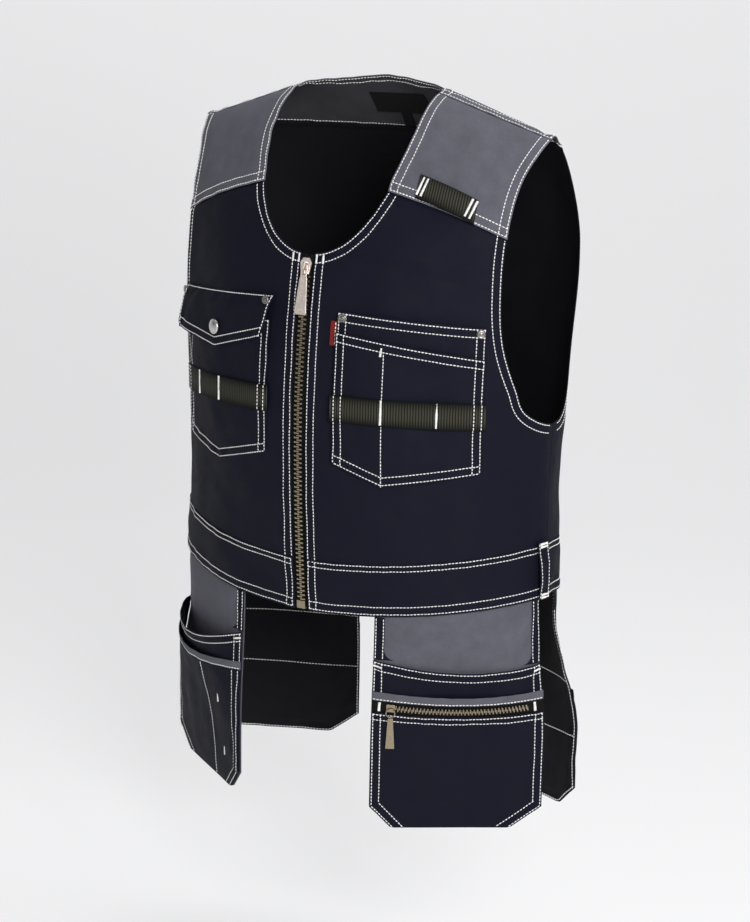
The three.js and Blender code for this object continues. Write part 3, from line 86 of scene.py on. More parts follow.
# Armhole edges: up is a share of the armhole's depth, across a share of the body's half width there
ARMHOLE_FRONT_UP = (0, 0.02, 0.05, 0.14, 0.32, 0.5, 0.72, 0.87, 1)
ARMHOLE_FRONT_ACROSS = (1, 0.98, 0.952, 0.917, 0.855, 0.83, 0.838, 0.869, 0.942)
ARMHOLE_BACK_UP = (0, 0.03, 0.08, 0.2, 0.42, 0.62, 0.82, 1)
ARMHOLE_BACK_ACROSS = (1, 0.992, 0.978, 0.948, 0.915, 0.905, 0.908, 0.942)

# Layers of cloth
CLOTH = 1.5
PATCH_CLOTH = 1.3
BAND_CLOTH = 3
BAND_PROUD = 1
WEBBING = 1.6
LAYER_GAP = 0.5
SEAM_GAP = 0.04
UNDERLAP = 4
BEHIND_GAP = 0.4
BAND_INSIDE = BAND_PROUD - BAND_CLOTH

# Main zip
SLOT_HALF = 9
TAPE_OUTSIDE = BAND_INSIDE - BEHIND_GAP
TAPE_CLOTH = 0.8
TAPE_EDGE = 1.2
TAPE_TUCK = 9
TOOTH_PITCH = 5.2
BOX_TOP = 11
SLIDER_HEIGHT = ZIP_TOP - 14
TEETH_TOP = SLIDER_HEIGHT + 4.5

# Chest pockets: across is the distance round the body from the centre front, up is above the hem
POCKET_INNER = 44
POCKET_WIDTH = 166
POCKET_BOTTOM_INNER, POCKET_VERTEX, POCKET_BOTTOM_OUTER = 179, 157, 174
LEFT_VERTEX, RIGHT_VERTEX = 0.34, 0.5
POCKET_TOP_INNER, POCKET_TOP_OUTER = 348, 337
SHORT_DROP_INNER, SHORT_DROP_OUTER = 22, 34
FLAPPED_POCKET_TOP = 330
POCKET_BULGE = 2.6
SHORT_BULGE = 1
FLAP_OVERHANG = 4
FLAP_TOP_INNER, FLAP_TOP_OUTER = 358, 348
FLAP_SIDE_INNER, FLAP_VERTEX, FLAP_SIDE_OUTER = 309, 288, 300
FLAP_TAPER = 12
FLAP_FLARE = 11
STRAP_HEIGHT = 30
STRAP_INNER, STRAP_OUTER = 227, 224
STRAP_OVERHANG = 3

# Holsters: across runs from a holster's middle line, drop is below the hem at the centre front
HOLSTER_HALF_WIDTH = 99
HOLSTER_LENGTH = 247
HOLSTER_TUCK = 38
FRONT_HOLSTER_MIDDLE = 189
BACK_HOLSTER_MIDDLE = 179
HANG_LENGTH = 150
HANG_INSET = 12
CORNER_DROP = 26
CORNER_INNER, CORNER_OUTER = 25, 36
SIDE_BAND_WIDTH = 12
MOUTH_DROP = 50
BINDING_DROP = 83
BINDING_HEIGHT = 10
BINDING_DIP = 4
ZIP_SLOT = 14
BACK_MOUTH_DROP = 100
PLACES = ("left", "right")

# Teeth of both zips, each as length, height and thickness, and the small zip's run across its holster
TOOTH_SIZE, SMALL_TOOTH_SIZE = (6.6, 2.5, 3.0), (4.8, 1.9, 2.2)
SMALL_TOOTH_PITCH = 4.0
SMALL_ZIP_START, SMALL_ZIP_END = -71.6, 82.0

# Lengths by which the panels' rows are spaced
FRONT_PANEL_LENGTH, BACK_PANEL_LENGTH = 386, 440

# Stitching, and caps as radius and height
EDGE_ROW = 2.2
BAND_ROW = 3.2
TACK_STEP = 0.95
TACK_STOUT = 1.15
RIVET_INSET = 6.5
RIVET_SIZE, SNAP_SIZE = (4.8, 1.9), (8.7, 3.4)
SNAP_DROP = 42

# Camera, floor and backdrop, in degrees and metres
CAMERA_ANGLES = (30.88, 13.53, 1.12)
CAMERA_AIM = (0.00892, 0, -0.4118)
CAMERA_DISTANCE = 2.5802
FLOOR_HEIGHT = -1.05
BACKDROP_START, BACKDROP_RADIUS = 2.0, 1.2


def length_setting(name, description, millimetres):
    return FloatProperty(name=name, description=description, default=millimetres * MM, unit="LENGTH")


def colour_setting(name, description, colour):
    return FloatVectorProperty(name=name, description=description, subtype="COLOR", size=3, default=colour)


class VestSettings(bpy.types.PropertyGroup):
    """Sizes and colours of the vest's finish."""

    stitch_pitch: length_setting("Stitch pitch", "From one topstitch to the next", 3.9)
    stitch_length: length_setting("Stitch length", "Thread seen of each topstitch", 3.35)
    thread_width: length_setting("Thread width", "Width of the topstitching thread", 1.25)
    row_gap: length_setting("Row gap", "From one row of a double seam to the other", 8.6)
    fold_height: length_setting("Fold height", "Height of the soft folds over the body", 2.0)
    navy: colour_setting("Navy", "Body cloth", (0.0030, 0.0036, 0.0110))
    grey: colour_setting("Grey", "Yoke cloth", (0.092, 0.091, 0.112))
    thread: colour_setting("Thread", "Topstitching", (0.93, 0.92, 0.90))
    webbing: colour_setting("Webbing", "Ribbed straps", (0.021, 0.021, 0.0155))
    brass: colour_setting("Brass", "Zip teeth", (0.36, 0.30, 0.21))
    nickel: colour_setting("Nickel", "Zip pull, snap and rivets", (0.72, 0.63, 0.58))


# Number helpers, all on whole arrays
def mix(a, b, t):
    return a + (b - a) * t


def ease(t):
    t = np.clip(t, 0, 1)
    return t * t * (3 - 2 * t)


def unit(vectors):
    return vectors / np.maximum(np.linalg.norm(vectors, axis=-1, keepdims=True), 1e-12)


def point(x, y, z):
    return np.stack(np.broadcast_arrays(x, y, z), axis=-1).astype(float)


def table_at(knots, values, at):
    """A cubic through each span of a table. Its slope at a knot is the mean of the two chords' slopes, each
    weighted by the other span's length."""
    knots, values = np.asarray(knots, float), np.asarray(values, float)
    runs = np.diff(knots)
    chords = np.diff(values) / runs
    inner = (chords[:-1] * runs[1:] + chords[1:] * runs[:-1]) / (runs[:-1] + runs[1:])
    slopes = np.concatenate([chords[:1], inner, chords[-1:]])
    at = np.clip(at, knots[0], knots[-1])
    i = np.clip(np.searchsorted(knots, at, side="right") - 1, 0, len(runs) - 1)
    t = (at - knots[i]) / runs[i]
    return (
        (2 * t**3 - 3 * t**2 + 1) * values[i]
        + (t**3 - 2 * t**2 + t) * runs[i] * slopes[i]
        + (3 * t**2 - 2 * t**3) * values[i + 1]
        + (t**3 - t**2) * runs[i] * slopes[i + 1]
    )


def graded(length, coarse=5.0, band=14.0, fine=1.55):
    """Shares from 0 to 1 along a length: close steps near both ends, where cloth is turned and sewn, and
    wider steps between."""
    if length < 2.4 * band:
        ends = np.array([0, 0.35, 0.8])
        inner = np.linspace(1.4, length - 1.4, max(3, int(length / fine / 1.3)))
    else:
        ends = np.concatenate([[0, 0.35, 0.8], np.arange(1.4, band, fine)])
        inner = np.linspace(band, length - band, int(np.ceil((length - 2 * band) / coarse)) + 1)
    return np.concatenate([ends, inner, length - ends[::-1]]) / length


def waves(points, seed, wavelength, count=9):
    """Smooth random relief of height about one: a sum of sine waves, each with its own direction, length
    and phase."""
    random = np.random.default_rng(seed)
    directions = unit(random.normal(size=(count, 3)) * (1.0, 1.0, 0.55))
    lengths = wavelength * random.uniform(0.7, 1.6, count)
    phases = random.uniform(0, 2 * np.pi, count)
    angles = points @ (directions * (2 * np.pi / lengths)[:, None]).T + phases
    return np.sin(angles).sum(axis=-1) / np.sqrt(count)


# The body's outside
def half_width(height):
    return CHEST_HALF_WIDTH * table_at(SECTION_HEIGHT, SECTION_WIDTH, height / NECK_POINT)


def depth_at(front, height):
    share = height / NECK_POINT
    return np.where(
        front,
        FRONT_DEPTH * table_at(SECTION_HEIGHT, SECTION_FRONT, share),
        BACK_DEPTH * table_at(SECTION_HEIGHT, SECTION_BACK, share),
    )


def ridge_height(x):
    """The shoulder's ridge falls evenly to its tip and is rounded off over the neck hole."""
    slope = SHOULDER_DROP / (SHOULDER_HALF_WIDTH - NECK_HALF_WIDTH)
    rounding = NECK_HALF_WIDTH / 3
    return NECK_POINT - slope * (np.hypot(x, rounding) - np.hypot(NECK_HALF_WIDTH, rounding))


SHOULDER_REST = ridge_height((NECK_HALF_WIDTH + SHOULDER_HALF_WIDTH) / 2) - CLOTH
ARMHOLE_FOOT = ridge_height(SHOULDER_HALF_WIDTH) - ARMHOLE_DEPTH


def body(turn, height):
    """A point by its turn round the body, in degrees from the centre front, and its height: a rounded
    section whose depth shrinks along the arch over the shoulder."""
    turn, height = np.broadcast_arrays(np.asarray(turn, float), np.asarray(height, float))
    side = np.where((turn > 180) | (turn < 0), -1.0, 1.0)
    angle = np.radians(np.where(turn > 180, 360 - turn, np.abs(turn)))
    front = np.cos(angle) > 0
    power = 2 / np.where(front, FRONT_ROUNDNESS, BACK_ROUNDNESS)
    arch = np.where(front, FRONT_ARCH, BACK_ARCH)
    x = half_width(height) * np.abs(np.sin(angle)) ** power
    climb = np.clip((height - SPRING_HEIGHT) / (ridge_height(x) - SPRING_HEIGHT), 0, 1)
    reach = np.abs(np.cos(angle)) ** power * (1 - climb**arch) ** (1 / arch)
    return point(side * x, np.where(front, -1, 1) * depth_at(front, height) * reach, height)


def shoulder(x, lean):
    """A point over the shoulder by its distance from the middle and its lean, in degrees from the front of
    the chest over the ridge to the back."""
    x, lean = np.broadcast_arrays(np.asarray(x, float), np.asarray(lean, float))
    front = lean < 90
    arch = np.where(front, FRONT_ARCH, BACK_ARCH)
    roundness = np.where(front, FRONT_ROUNDNESS, BACK_ROUNDNESS)
    angle = np.radians(lean)
    height = SPRING_HEIGHT + (ridge_height(x) - SPRING_HEIGHT) * np.sin(angle) ** (2 / arch)
    across = np.minimum(0.9999, np.abs(x) / half_width(height))
    depth = depth_at(front, height) * (1 - across**roundness) ** (1 / roundness)
    reach = np.abs(np.cos(angle)) ** (2 / arch)
    return point(x, np.where(front, -1, 1) * depth * reach, height)


def slopes(chart, a, b, step_a=0.2, step_b=0.5):
    """The two slopes of a surface, from points a step to each side."""
    along_a = (chart(a + step_a, b) - chart(a - step_a, b)) / (2 * step_a)
    along_b = (chart(a, b + step_b) - chart(a, b - step_b)) / (2 * step_b)
    return along_a, along_b


def turn_across(share, front):
    roundness = np.where(front, FRONT_ROUNDNESS, BACK_ROUNDNESS)
    turn = np.degrees(np.arcsin(np.clip(share, 0, 1) ** (roundness / 2)))
    return np.where(front, turn, 180 - turn)


def turn_at_x(x, height):
    return turn_across(x / half_width(height), True)


def turn_at_depth(depth, height, front):
    roundness = FRONT_ROUNDNESS if front else BACK_ROUNDNESS
    turn = np.degrees(np.arccos((depth / depth_at(front, height)) ** (roundness / 2)))
    return turn if front else 180 - turn


def neck_x(height):
    below = np.clip((NECK_CURVE_TOP - height) / (NECK_CURVE_TOP - ZIP_TOP), 0, 1)
    return NECK_HALF_WIDTH * (1 - below**NECKLINE_ROUNDNESS) ** (1 / NECKLINE_ROUNDNESS)


def front_edge(height):
    return turn_at_x(np.maximum(SLOT_HALF, np.where(height < ZIP_TOP, 0, neck_x(height))), height)


def armhole_x(height, front):
    up = (height - ARMHOLE_FOOT) / ARMHOLE_DEPTH
    ahead = table_at(ARMHOLE_FRONT_UP, ARMHOLE_FRONT_ACROSS, up)
    behind = table_at(ARMHOLE_BACK_UP, ARMHOLE_BACK_ACROSS, up)
    return half_width(height) * np.where(front, ahead, behind)


def side_edge(height, front):
    seam = turn_at_depth(SEAM_GAP / 2, height, front)
    armhole = turn_across(armhole_x(height, front) / half_width(height), front)
    nearer = np.minimum(seam, armhole) if front else np.maximum(seam, armhole)
    return np.where(height <= ARMHOLE_FOOT, seam, nearer)


def hem_height(turn):
    return HEM_RISE * np.sin(np.radians(turn)) ** 2


def band_top(turn):
    return hem_height(turn) + BAND_HEIGHT


def front_seam(share):
    return mix(FRONT_SEAM_NECK, FRONT_SEAM_ARM, share) + FRONT_SEAM_BOW * np.sin(np.pi * share)


def lean_at(x, height, front):
    climb = np.clip((height - SPRING_HEIGHT) / (ridge_height(x) - SPRING_HEIGHT), 0, 1)
    lean = np.degrees(np.arcsin(climb ** ((FRONT_ARCH if front else BACK_ARCH) / 2)))
    return lean if front else 180 - lean


# Turns by the distance round the body, on a table of heights that is read between its rows
GIRTH_HEIGHTS = np.linspace(-10, 470, 97)
GIRTH_TURNS = np.linspace(0, 180, 721)
_rings = body(GIRTH_TURNS[None, :], GIRTH_HEIGHTS[:, None])
_runs = np.cumsum(np.linalg.norm(np.diff(_rings, axis=1), axis=-1), axis=1)
GIRTH_RUNS = np.concatenate([np.zeros((len(GIRTH_HEIGHTS), 1)), _runs], axis=1)
GIRTH_DISTANCES = np.linspace(0, GIRTH_RUNS[:, -1].min(), 601)
GIRTH_TABLE = np.array([np.interp(GIRTH_DISTANCES, runs, GIRTH_TURNS) for runs in GIRTH_RUNS])
HALF_GIRTH = float(np.interp(0, GIRTH_HEIGHTS, GIRTH_RUNS[:, -1]))


def turn_at_girth(distance, height):
    distance, height = np.broadcast_arrays(np.asarray(distance, float), np.asarray(height, float))
    across = np.clip(distance / GIRTH_DISTANCES[1], 0, len(GIRTH_DISTANCES) - 1.001)
    up = np.clip((height - GIRTH_HEIGHTS[0]) / 5, 0, len(GIRTH_HEIGHTS) - 1.001)
    i, j = across.astype(int), up.astype(int)
    s, t = across - i, up - j
    low = mix(GIRTH_TABLE[j, i], GIRTH_TABLE[j, i + 1], s)
    high = mix(GIRTH_TABLE[j + 1, i], GIRTH_TABLE[j + 1, i + 1], s)
    return mix(low, high, t)


def girth(distance, height):
    return body(turn_at_girth(distance, height), height)


def hanging(middle):
    """A holster's surface: level with the body at the hem, and flat further down, with an eased change
    between the two."""
    seat = girth(middle, 0.0)
    a, b = slopes(girth, np.float64(middle), np.float64(0))
    out = unit(np.cross(a, b) * (1, 1, 0))
    along = np.array([-out[1], out[0], 0])
    outside = BAND_INSIDE - BEHIND_GAP
    plane = seat + out * (outside - HANG_INSET)

    def chart(across, drop):
        across, drop = np.broadcast_arrays(np.asarray(across, float), np.asarray(drop, float))
        height = np.maximum(0, -drop)
        upper = girth(middle + across, height)
        a, b = slopes(girth, middle + across, height)
        curved = upper + unit(np.cross(a, b)) * outside
        level = plane + along * across[..., None]
        placed = mix(curved, level, ease(np.maximum(0, drop) / HANG_LENGTH)[..., None])
        placed[..., 2] = -drop
        return placed

    return chart


def holster_across(u):
    return mix(-HOLSTER_HALF_WIDTH, HOLSTER_HALF_WIDTH, u)


def corner_drop(u):
    inner = 1 - (HOLSTER_HALF_WIDTH + holster_across(u)) / CORNER_INNER
    outer = 1 - (HOLSTER_HALF_WIDTH - holster_across(u)) / CORNER_OUTER
    return HOLSTER_LENGTH - CORNER_DROP * np.maximum(0, np.maximum(inner, outer))


# Distances between points and a line, and places along a line
def distance_to(points, line):
    """Least distance from each point to a line of straight stretches."""
    start, run = line[:-1], np.diff(line, axis=0)
    length = np.maximum((run * run).sum(-1), 1e-9)
    flat = points.reshape(-1, 3)
    best = []
    for part in np.array_split(flat, max(1, len(flat) // 2000)):
        rel = part[:, None, :] - start[None]
        share = np.clip((rel * run).sum(-1) / length, 0, 1)
        best.append(np.linalg.norm(rel - share[..., None] * run, axis=-1).min(axis=1))
    return np.concatenate(best).reshape(points.shape[:-1])


def run_along(line):
    return np.concatenate([[0], np.cumsum(np.linalg.norm(np.diff(line, axis=0), axis=-1))])


def read_along(line, runs, at):
    return np.stack([np.interp(at, runs, line[:, i]) for i in range(line.shape[1])], axis=-1)


# A surface's points and normals, each by its own two coordinates
def on_body(turn, height):
    return body(turn, height), unit(np.cross(*slopes(body, turn, height)))


def on_shoulder(x, lean):
    return shoulder(x, lean), unit(np.cross(*slopes(shoulder, x, lean, 0.5, 0.5)))


def on_girth(distance, height):
    return girth(distance, height), unit(np.cross(*slopes(girth, distance, height, 0.5, 0.5)))


def on_holster(middle):
    chart = hanging(middle)

    def place(across, drop):
        along, down = slopes(chart, across, drop, 1.5, 1.5)
        return chart(across, drop), unit(np.cross(along, -down))

    return place


class Seam:
    """An edge of a cloth that is turned in and topstitched: its rows' distances from the edge, and what is
    left bare at both ends of each row."""

    def __init__(self, side, rows, trim=(0.6, 0.6), hem=11.0, tacks=(), sewn=True, miter=0.0):
        self.side, self.rows, self.trim, self.hem, self.tacks = side, rows, trim, hem, tacks
        self.sewn, self.miter = sewn, miter


def seams_on(sides, *made):
    """Seams made alike on several edges."""
    return [Seam(side, *made) for side in sides]


def double_rows(first=EDGE_ROW):
    """Distances from the edge of a double seam's two rows."""
    return first, first + vest_settings().row_gap / MM


class Cloth:
    """A layer of cloth on a grid of shares u across and v up. Its outside is the base surface, moved out by
    the layer's lift, by soft folds, by the thickness of turned-in edges and by the puckers along their
    stitching, less a groove under each row of stitches."""

    def __init__(self, u, v, place, lift, thick, seams=(), fold=1.0, seed=3, mirror=False, soft=0.0):
        self.u_shares = np.asarray(u)
        u, v = np.meshgrid(u, v)
        base, normal = place(u, v)
        proud = lift(u, v) if callable(lift) else np.full(u.shape, float(lift))
        self.raised = base + normal * proud[..., None]
        self.normal, self.thick, self.mirror = normal, thick, mirror
        self.points = self.raised
        world = base * ((-1, 1, 1) if mirror else (1, 1, 1))
        edge = self.edge_distance()
        gap = vest_settings().fold_height / MM
        height = fold * gap * waves(world, 11, 120) * (0.25 + 0.75 * ease(edge / 45))
        height += 0.25 * fold * gap * waves(world, 17, 42) * ease(edge / 20)
        wear = np.zeros_like(edge)
        for seam in seams:
            distance = distance_to(self.raised, self.edge(seam.side))
            if seam.hem:
                height += 0.6 * (1 - ease((distance - seam.hem + 1.2) / 2.4))
                wear = np.maximum(wear, np.exp(-((distance / 1.6) ** 2)))
            reach = np.exp(-(((distance - 6) / 9) ** 2))
            height += 0.6 * reach * waves(world, seed + 5, 19) * (1 if seam.rows else 0)
            for row in seam.rows:
                height -= 0.4 * np.exp(-(((distance - row) / 1.0) ** 2))
        if soft:
            height += soft * waves(world, seed + 31, 26) * ease(edge / 8)
        self.points = self.raised + normal * height[..., None]
        self.edge_out, self.wear = edge, wear
        self.threads = []
        for seam in seams:
            for row in seam.rows if seam.sewn else ():
                self.sew(seam.side, row, (seam.trim[0] + seam.miter * row, seam.trim[1]))
            for at, length in seam.tacks:
                self.tack(seam, at, length)

    def oriented(self, side):
        """The grid turned so that its first row lies on the edge and the next ones go inwards."""
        grids = self.points, self.normal
        if side == "top":
            return [grid[::-1] for grid in grids]
        if side == "left":
            return [grid.transpose(1, 0, 2) for grid in grids]
        if side == "right":
            return [grid[:, ::-1].transpose(1, 0, 2) for grid in grids]
        return list(grids)

    def edge(self, side):
        return self.oriented(side)[0][0]

    def edge_distance(self):
        """Distance of each point from the nearest of the four edges, along the grid's own lines."""
        across = np.linalg.norm(np.diff(self.points, axis=1), axis=-1)
        up = np.linalg.norm(np.diff(self.points, axis=0), axis=-1)
        run_a = np.concatenate([np.zeros((len(across), 1)), np.cumsum(across, axis=1)], axis=1)
        run_b = np.concatenate([np.zeros((1, up.shape[1])), np.cumsum(up, axis=0)], axis=0)
        self.width, self.length = run_a[:, -1].max(), run_b[-1].max()
        self.run_a, self.run_b = run_a, run_b
        nearer_a = np.minimum(run_a, run_a[:, -1:] - run_a)
        nearer_b = np.minimum(run_b, run_b[-1:] - run_b)
        return np.minimum(nearer_a, nearer_b)

    def inset(self, side, distance, trim=(0, 0)):
        """The line at a distance inside an edge: along each grid line that leaves the edge, the step is the
        distance over the sine of the angle between the grid line and the edge."""
        points, normal = self.oriented(side)
        tangent = unit(np.gradient(points[0], axis=0))
        reach = points[min(6, len(points) - 1)] - points[0]
        lean = np.maximum(0.35, np.linalg.norm(np.cross(unit(reach), tangent), axis=-1))
        lengths = np.linalg.norm(np.diff(points, axis=0), axis=-1)
        runs = np.concatenate([np.zeros((1, points.shape[1])), np.cumsum(lengths, axis=0)])
        want = distance / lean
        row = np.clip((runs < want).sum(axis=0) - 1, 0, len(points) - 2)
        column = np.arange(points.shape[1])
        share = (want - runs[row, column]) / np.maximum(runs[row + 1, column] - runs[row, column], 1e-6)
        share = np.clip(share, 0, 1)[:, None]
        line = mix(points[row, column], points[row + 1, column], share)
        facing = mix(normal[row, column], normal[row + 1, column], share)
        steps = run_along(line)
        start, end = trim[0], steps[-1] - trim[1]
        at = np.linspace(start, end, max(3, int((end - start) / 1.0)))
        return read_along(line, steps, at), read_along(facing, steps, at)

    def sew(self, side, distance, trim=(0, 0), inside=False):
        line, facing = self.inset(side, distance, trim)
        self.sew_line(line - facing * self.thick, -facing) if inside else self.sew_line(line, facing)

    def offset(self, line, distance):
        """A line on the cloth at a distance beside another. Each point steps sideways, at right angles to
        the line and to the cloth, and is then laid on the plane of the cloth's nearest grid point."""
        runs = run_along(line)
        line = read_along(line, runs, np.linspace(0, runs[-1], max(4, int(runs[-1] / 1.5))))
        normal = self.nearest(line)[1]
        side = unit(np.cross(normal, unit(np.gradient(line, axis=0)))) * distance
        moved = line + side
        seat, normal = self.nearest(moved)
        return moved - normal * ((moved - seat) * normal).sum(-1, keepdims=True), normal

    def nearest(self, line):
        points, normal = self.points.reshape(-1, 3), self.normal.reshape(-1, 3)
        at = [int(np.argmin(((points - spot) ** 2).sum(-1))) for spot in line]
        return points[at], normal[at]

    def tack_line(self, line, facing, steps, width=2.8):
        """A bar tack: short stitches side by side, at some steps along a line."""
        runs = run_along(line)
        centre, out = read_along(line, runs, steps), unit(read_along(facing, runs, steps))
        ahead = unit(read_along(line, runs, steps + 0.5) - read_along(line, runs, steps - 0.5))
        across = unit(np.cross(out, ahead)) * width / 2
        self.threads.append((centre - across, centre + across, out, TACK_STOUT))

    def sew_line(self, line, facing):
        """One row of topstitches along a line on the cloth."""
        settings = vest_settings()
        pitch, length = settings.stitch_pitch / MM, settings.stitch_length / MM
        runs = run_along(line)
        count = max(1, int(runs[-1] / pitch))
        start = (np.arange(count) + 0.5) * (runs[-1] / count) - length / 2
        a, b = read_along(line, runs, start), read_along(line, runs, start + length)
        self.threads.append((a, b, unit(read_along(facing, runs, start + length / 2)), 1.0))

    def tack(self, seam, at, length):
        """A bar tack over a length of a seam, midway between its rows, at a share of the seam."""
        distance = seam.rows[0] + 0.5 * (seam.rows[-1] - seam.rows[0])
        line, facing = self.inset(seam.side, distance, seam.trim)
        middle = mix(length / 2, run_along(line)[-1] - length / 2, at)
        self.tack_line(line, facing, middle + np.arange(-length / 2, length / 2 + 0.01, TACK_STEP), 2.6)

    def bar(self, u, v, length, turned=False, width=2.8):
        """A bar tack at shares across and up, lying across the cloth or turned to run up it."""
        column = int(np.argmin(np.abs(self.run_a[0] / self.run_a[0, -1] - u)))
        row = int(np.argmin(np.abs(self.run_b[:, 0] / self.run_b[-1, 0] - v)))
        centre, out = self.points[row, column], self.normal[row, column]
        level = self.points[row]
        ahead = level[min(column + 1, len(level) - 1)] - level[max(column - 1, 0)]
        ahead = unit(ahead - out * (ahead @ out))
        if turned:
            ahead = unit(np.cross(out, ahead))
        across = unit(np.cross(out, ahead)) * width / 2
        steps = np.arange(-length / 2, length / 2 + 0.01, TACK_STEP)[:, None]
        middle = centre + ahead * steps
        self.threads.append((middle - across, middle + across, np.tile(out, (len(steps), 1)), TACK_STOUT))


def vest_settings():
    return bpy.context.scene.work_vest


def keep(name, mesh, *materials):
    """An object of a mesh, at the origin, that rides on the vest."""
    mesh.validate()
    for material in materials:
        mesh.materials.append(material)
    thing = bpy.data.objects.new(name, mesh)
    bpy.context.scene.collection.objects.link(thing)
    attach(thing, "vest")
    return thing


def mesh_from(name, points, faces, smooth=True, hang=True):
    """A mesh from points in millimetres above the hem, and faces that are arrays of equal-sized rows."""
    mesh = bpy.data.meshes.new(name)
    placed = points.reshape(-1, 3) - ((0, 0, SHOULDER_REST) if hang else (0, 0, 0))
    loops = np.concatenate([part.ravel() for part in faces]).astype(np.int32)
    sizes = np.concatenate([np.full(len(part), part.shape[1]) for part in faces])
    mesh.vertices.add(len(placed))
    mesh.vertices.foreach_set("co", (placed * MM).ravel().astype(np.float32))
    mesh.loops.add(len(loops))
    mesh.loops.foreach_set("vertex_index", loops)
    mesh.polygons.add(len(sizes))
    mesh.polygons.foreach_set("loop_start", np.concatenate([[0], np.cumsum(sizes)[:-1]]).astype(np.int32))
    mesh.update(calc_edges=True)
    mesh.polygons.foreach_set("use_smooth", np.full(len(sizes), smooth))
    return mesh


def grid_quads(rows, columns, start=0):
    a = (np.arange(rows - 1)[:, None] * columns + np.arange(columns - 1)[None]).ravel() + start
    return np.stack([a, a + 1, a + columns + 1, a + columns], axis=1)


def cloth_object(node, cloth, outside, inside):
    """The cloth as a closed mesh: the outside, the inside one thickness further in, and a rim between them.
    Near the rim both bend towards the middle of the cloth along a quarter circle."""
    points, normal = cloth.points, cloth.normal
    run_a, run_b = cloth.run_a, cloth.run_b
    if cloth.mirror:
        points, normal = points[:, ::-1] * (-1, 1, 1), normal[:, ::-1] * (-1, 1, 1)
        run_a, run_b = (run_a[:, -1:] - run_a)[:, ::-1], run_b[:, ::-1]
    edge = cloth.edge_out[:, ::-1] if cloth.mirror else cloth.edge_out
    wear = cloth.wear[:, ::-1] if cloth.mirror else cloth.wear
    radius = cloth.thick * 0.46
    near = np.clip(1 - edge / max(radius, 0.5), 0, 1)
    bend = radius * (1 - np.sqrt(np.maximum(0, 1 - near**2)))
    outer = points - normal * bend[..., None]
    inner = points - normal * (cloth.thick - bend)[..., None]
    rows, columns = edge.shape
    size = rows * columns
    out_faces = grid_quads(rows, columns)
    in_faces = grid_quads(rows, columns, size)[:, ::-1]
    ring = np.concatenate(
        [
            np.arange(columns - 1),
            np.arange(rows - 1) * columns + columns - 1,
            size - 1 - np.arange(columns - 1),
            (rows - 1 - np.arange(rows - 1)) * columns,
        ]
    )
    following = np.roll(ring, -1)
    rim = np.stack([ring, ring + size, following + size, following], axis=1)
    both = np.concatenate([outer.reshape(-1, 3), inner.reshape(-1, 3)])
    mesh = mesh_from(node + "_cloth", both, [out_faces, in_faces, rim])
    flat = np.stack([np.broadcast_to(run_a, edge.shape), np.broadcast_to(run_b, edge.shape)], axis=-1) * MM
    flat = np.concatenate([flat.reshape(-1, 2)] * 2)
    corner = np.empty(len(mesh.loops), np.int32)
    mesh.loops.foreach_get("vertex_index", corner)
    mesh.uv_layers.new(name="cloth").data.foreach_set("uv", flat[corner].ravel().astype(np.float32))
    worn = mesh.attributes.new("wear", "FLOAT", "POINT")
    worn.data.foreach_set("value", np.concatenate([wear.ravel()] * 2).astype(np.float32))
    slots = np.zeros(len(mesh.polygons), np.int32)
    slots[len(out_faces) : len(out_faces) + len(in_faces)] = 1
    thing = keep(node + "_cloth", mesh, outside, inside)
    mesh.polygons.foreach_set("material_index", slots)
    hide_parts(node)


def thread_object(name, cloths):
    """All stitches of some cloths as one mesh. Each is a short bowed thread of five rings of five points,
    thinner at both ends, where it dips into the cloth."""
    settings = vest_settings()
    parts = []
    for cloth in cloths:
        flip = (-1, 1, 1) if cloth.mirror else (1, 1, 1)
        for a, b, out, stout in cloth.threads:
            parts.append((a * flip, b * flip, out * flip, np.full(len(a), stout)))
    a, b, out, stout = [np.concatenate(column) for column in zip(*parts)]
    along = unit(b - a)
    side = unit(np.cross(out, along))
    width = (settings.thread_width / MM) * stout
    share = np.array([0, 0.2, 0.5, 0.8, 1.0])
    round_about = np.radians(np.arange(5) * 72 + 18)
    bow = np.sin(np.pi * share)
    radius = width[:, None] / 2 * (0.5 + 0.5 * np.sqrt(bow))[None]
    centre = mix(a[:, None], b[:, None], share[None, :, None])
    centre = centre + out[:, None] * (width[:, None] * (-0.22 + 0.5 * bow)[None])[..., None]
    ring = (
        centre[:, :, None]
        + side[:, None, None] * (radius[:, :, None] * np.cos(round_about))[..., None]
        + out[:, None, None] * (radius[:, :, None] * 0.75 * np.sin(round_about))[..., None]
    )
    count = len(a)
    start = np.arange(count)[:, None, None] * 25
    ring_at = np.arange(4)[None, :, None] * 5
    step = np.arange(5)[None, None, :]
    after = (step + 1) % 5
    first, second = start + ring_at, start + ring_at + 5
    sides = np.stack([first + step, first + after, second + after, second + step], axis=-1).reshape(-1, 4)
    head = start[:, 0]
    ends = np.concatenate([head + np.arange(5)[::-1], head + 20 + np.arange(5)])
    keep(name, mesh_from(name, ring, [sides, ends]), material_named("white thread"))


# Shader node helpers
def group_of(name, inputs, outputs):
    """A new shader node group with its input and output sockets."""
    tree = bpy.data.node_groups.new(name, "ShaderNodeTree")
    for label, kind, value in inputs:
        socket = tree.interface.new_socket(name=label, in_out="INPUT", socket_type=kind)
        if value is not None:
            socket.default_value = value
    for label, kind in outputs:
        tree.interface.new_socket(name=label, in_out="OUTPUT", socket_type=kind)
    return tree, tree.nodes.new("NodeGroupInput"), tree.nodes.new("NodeGroupOutput")


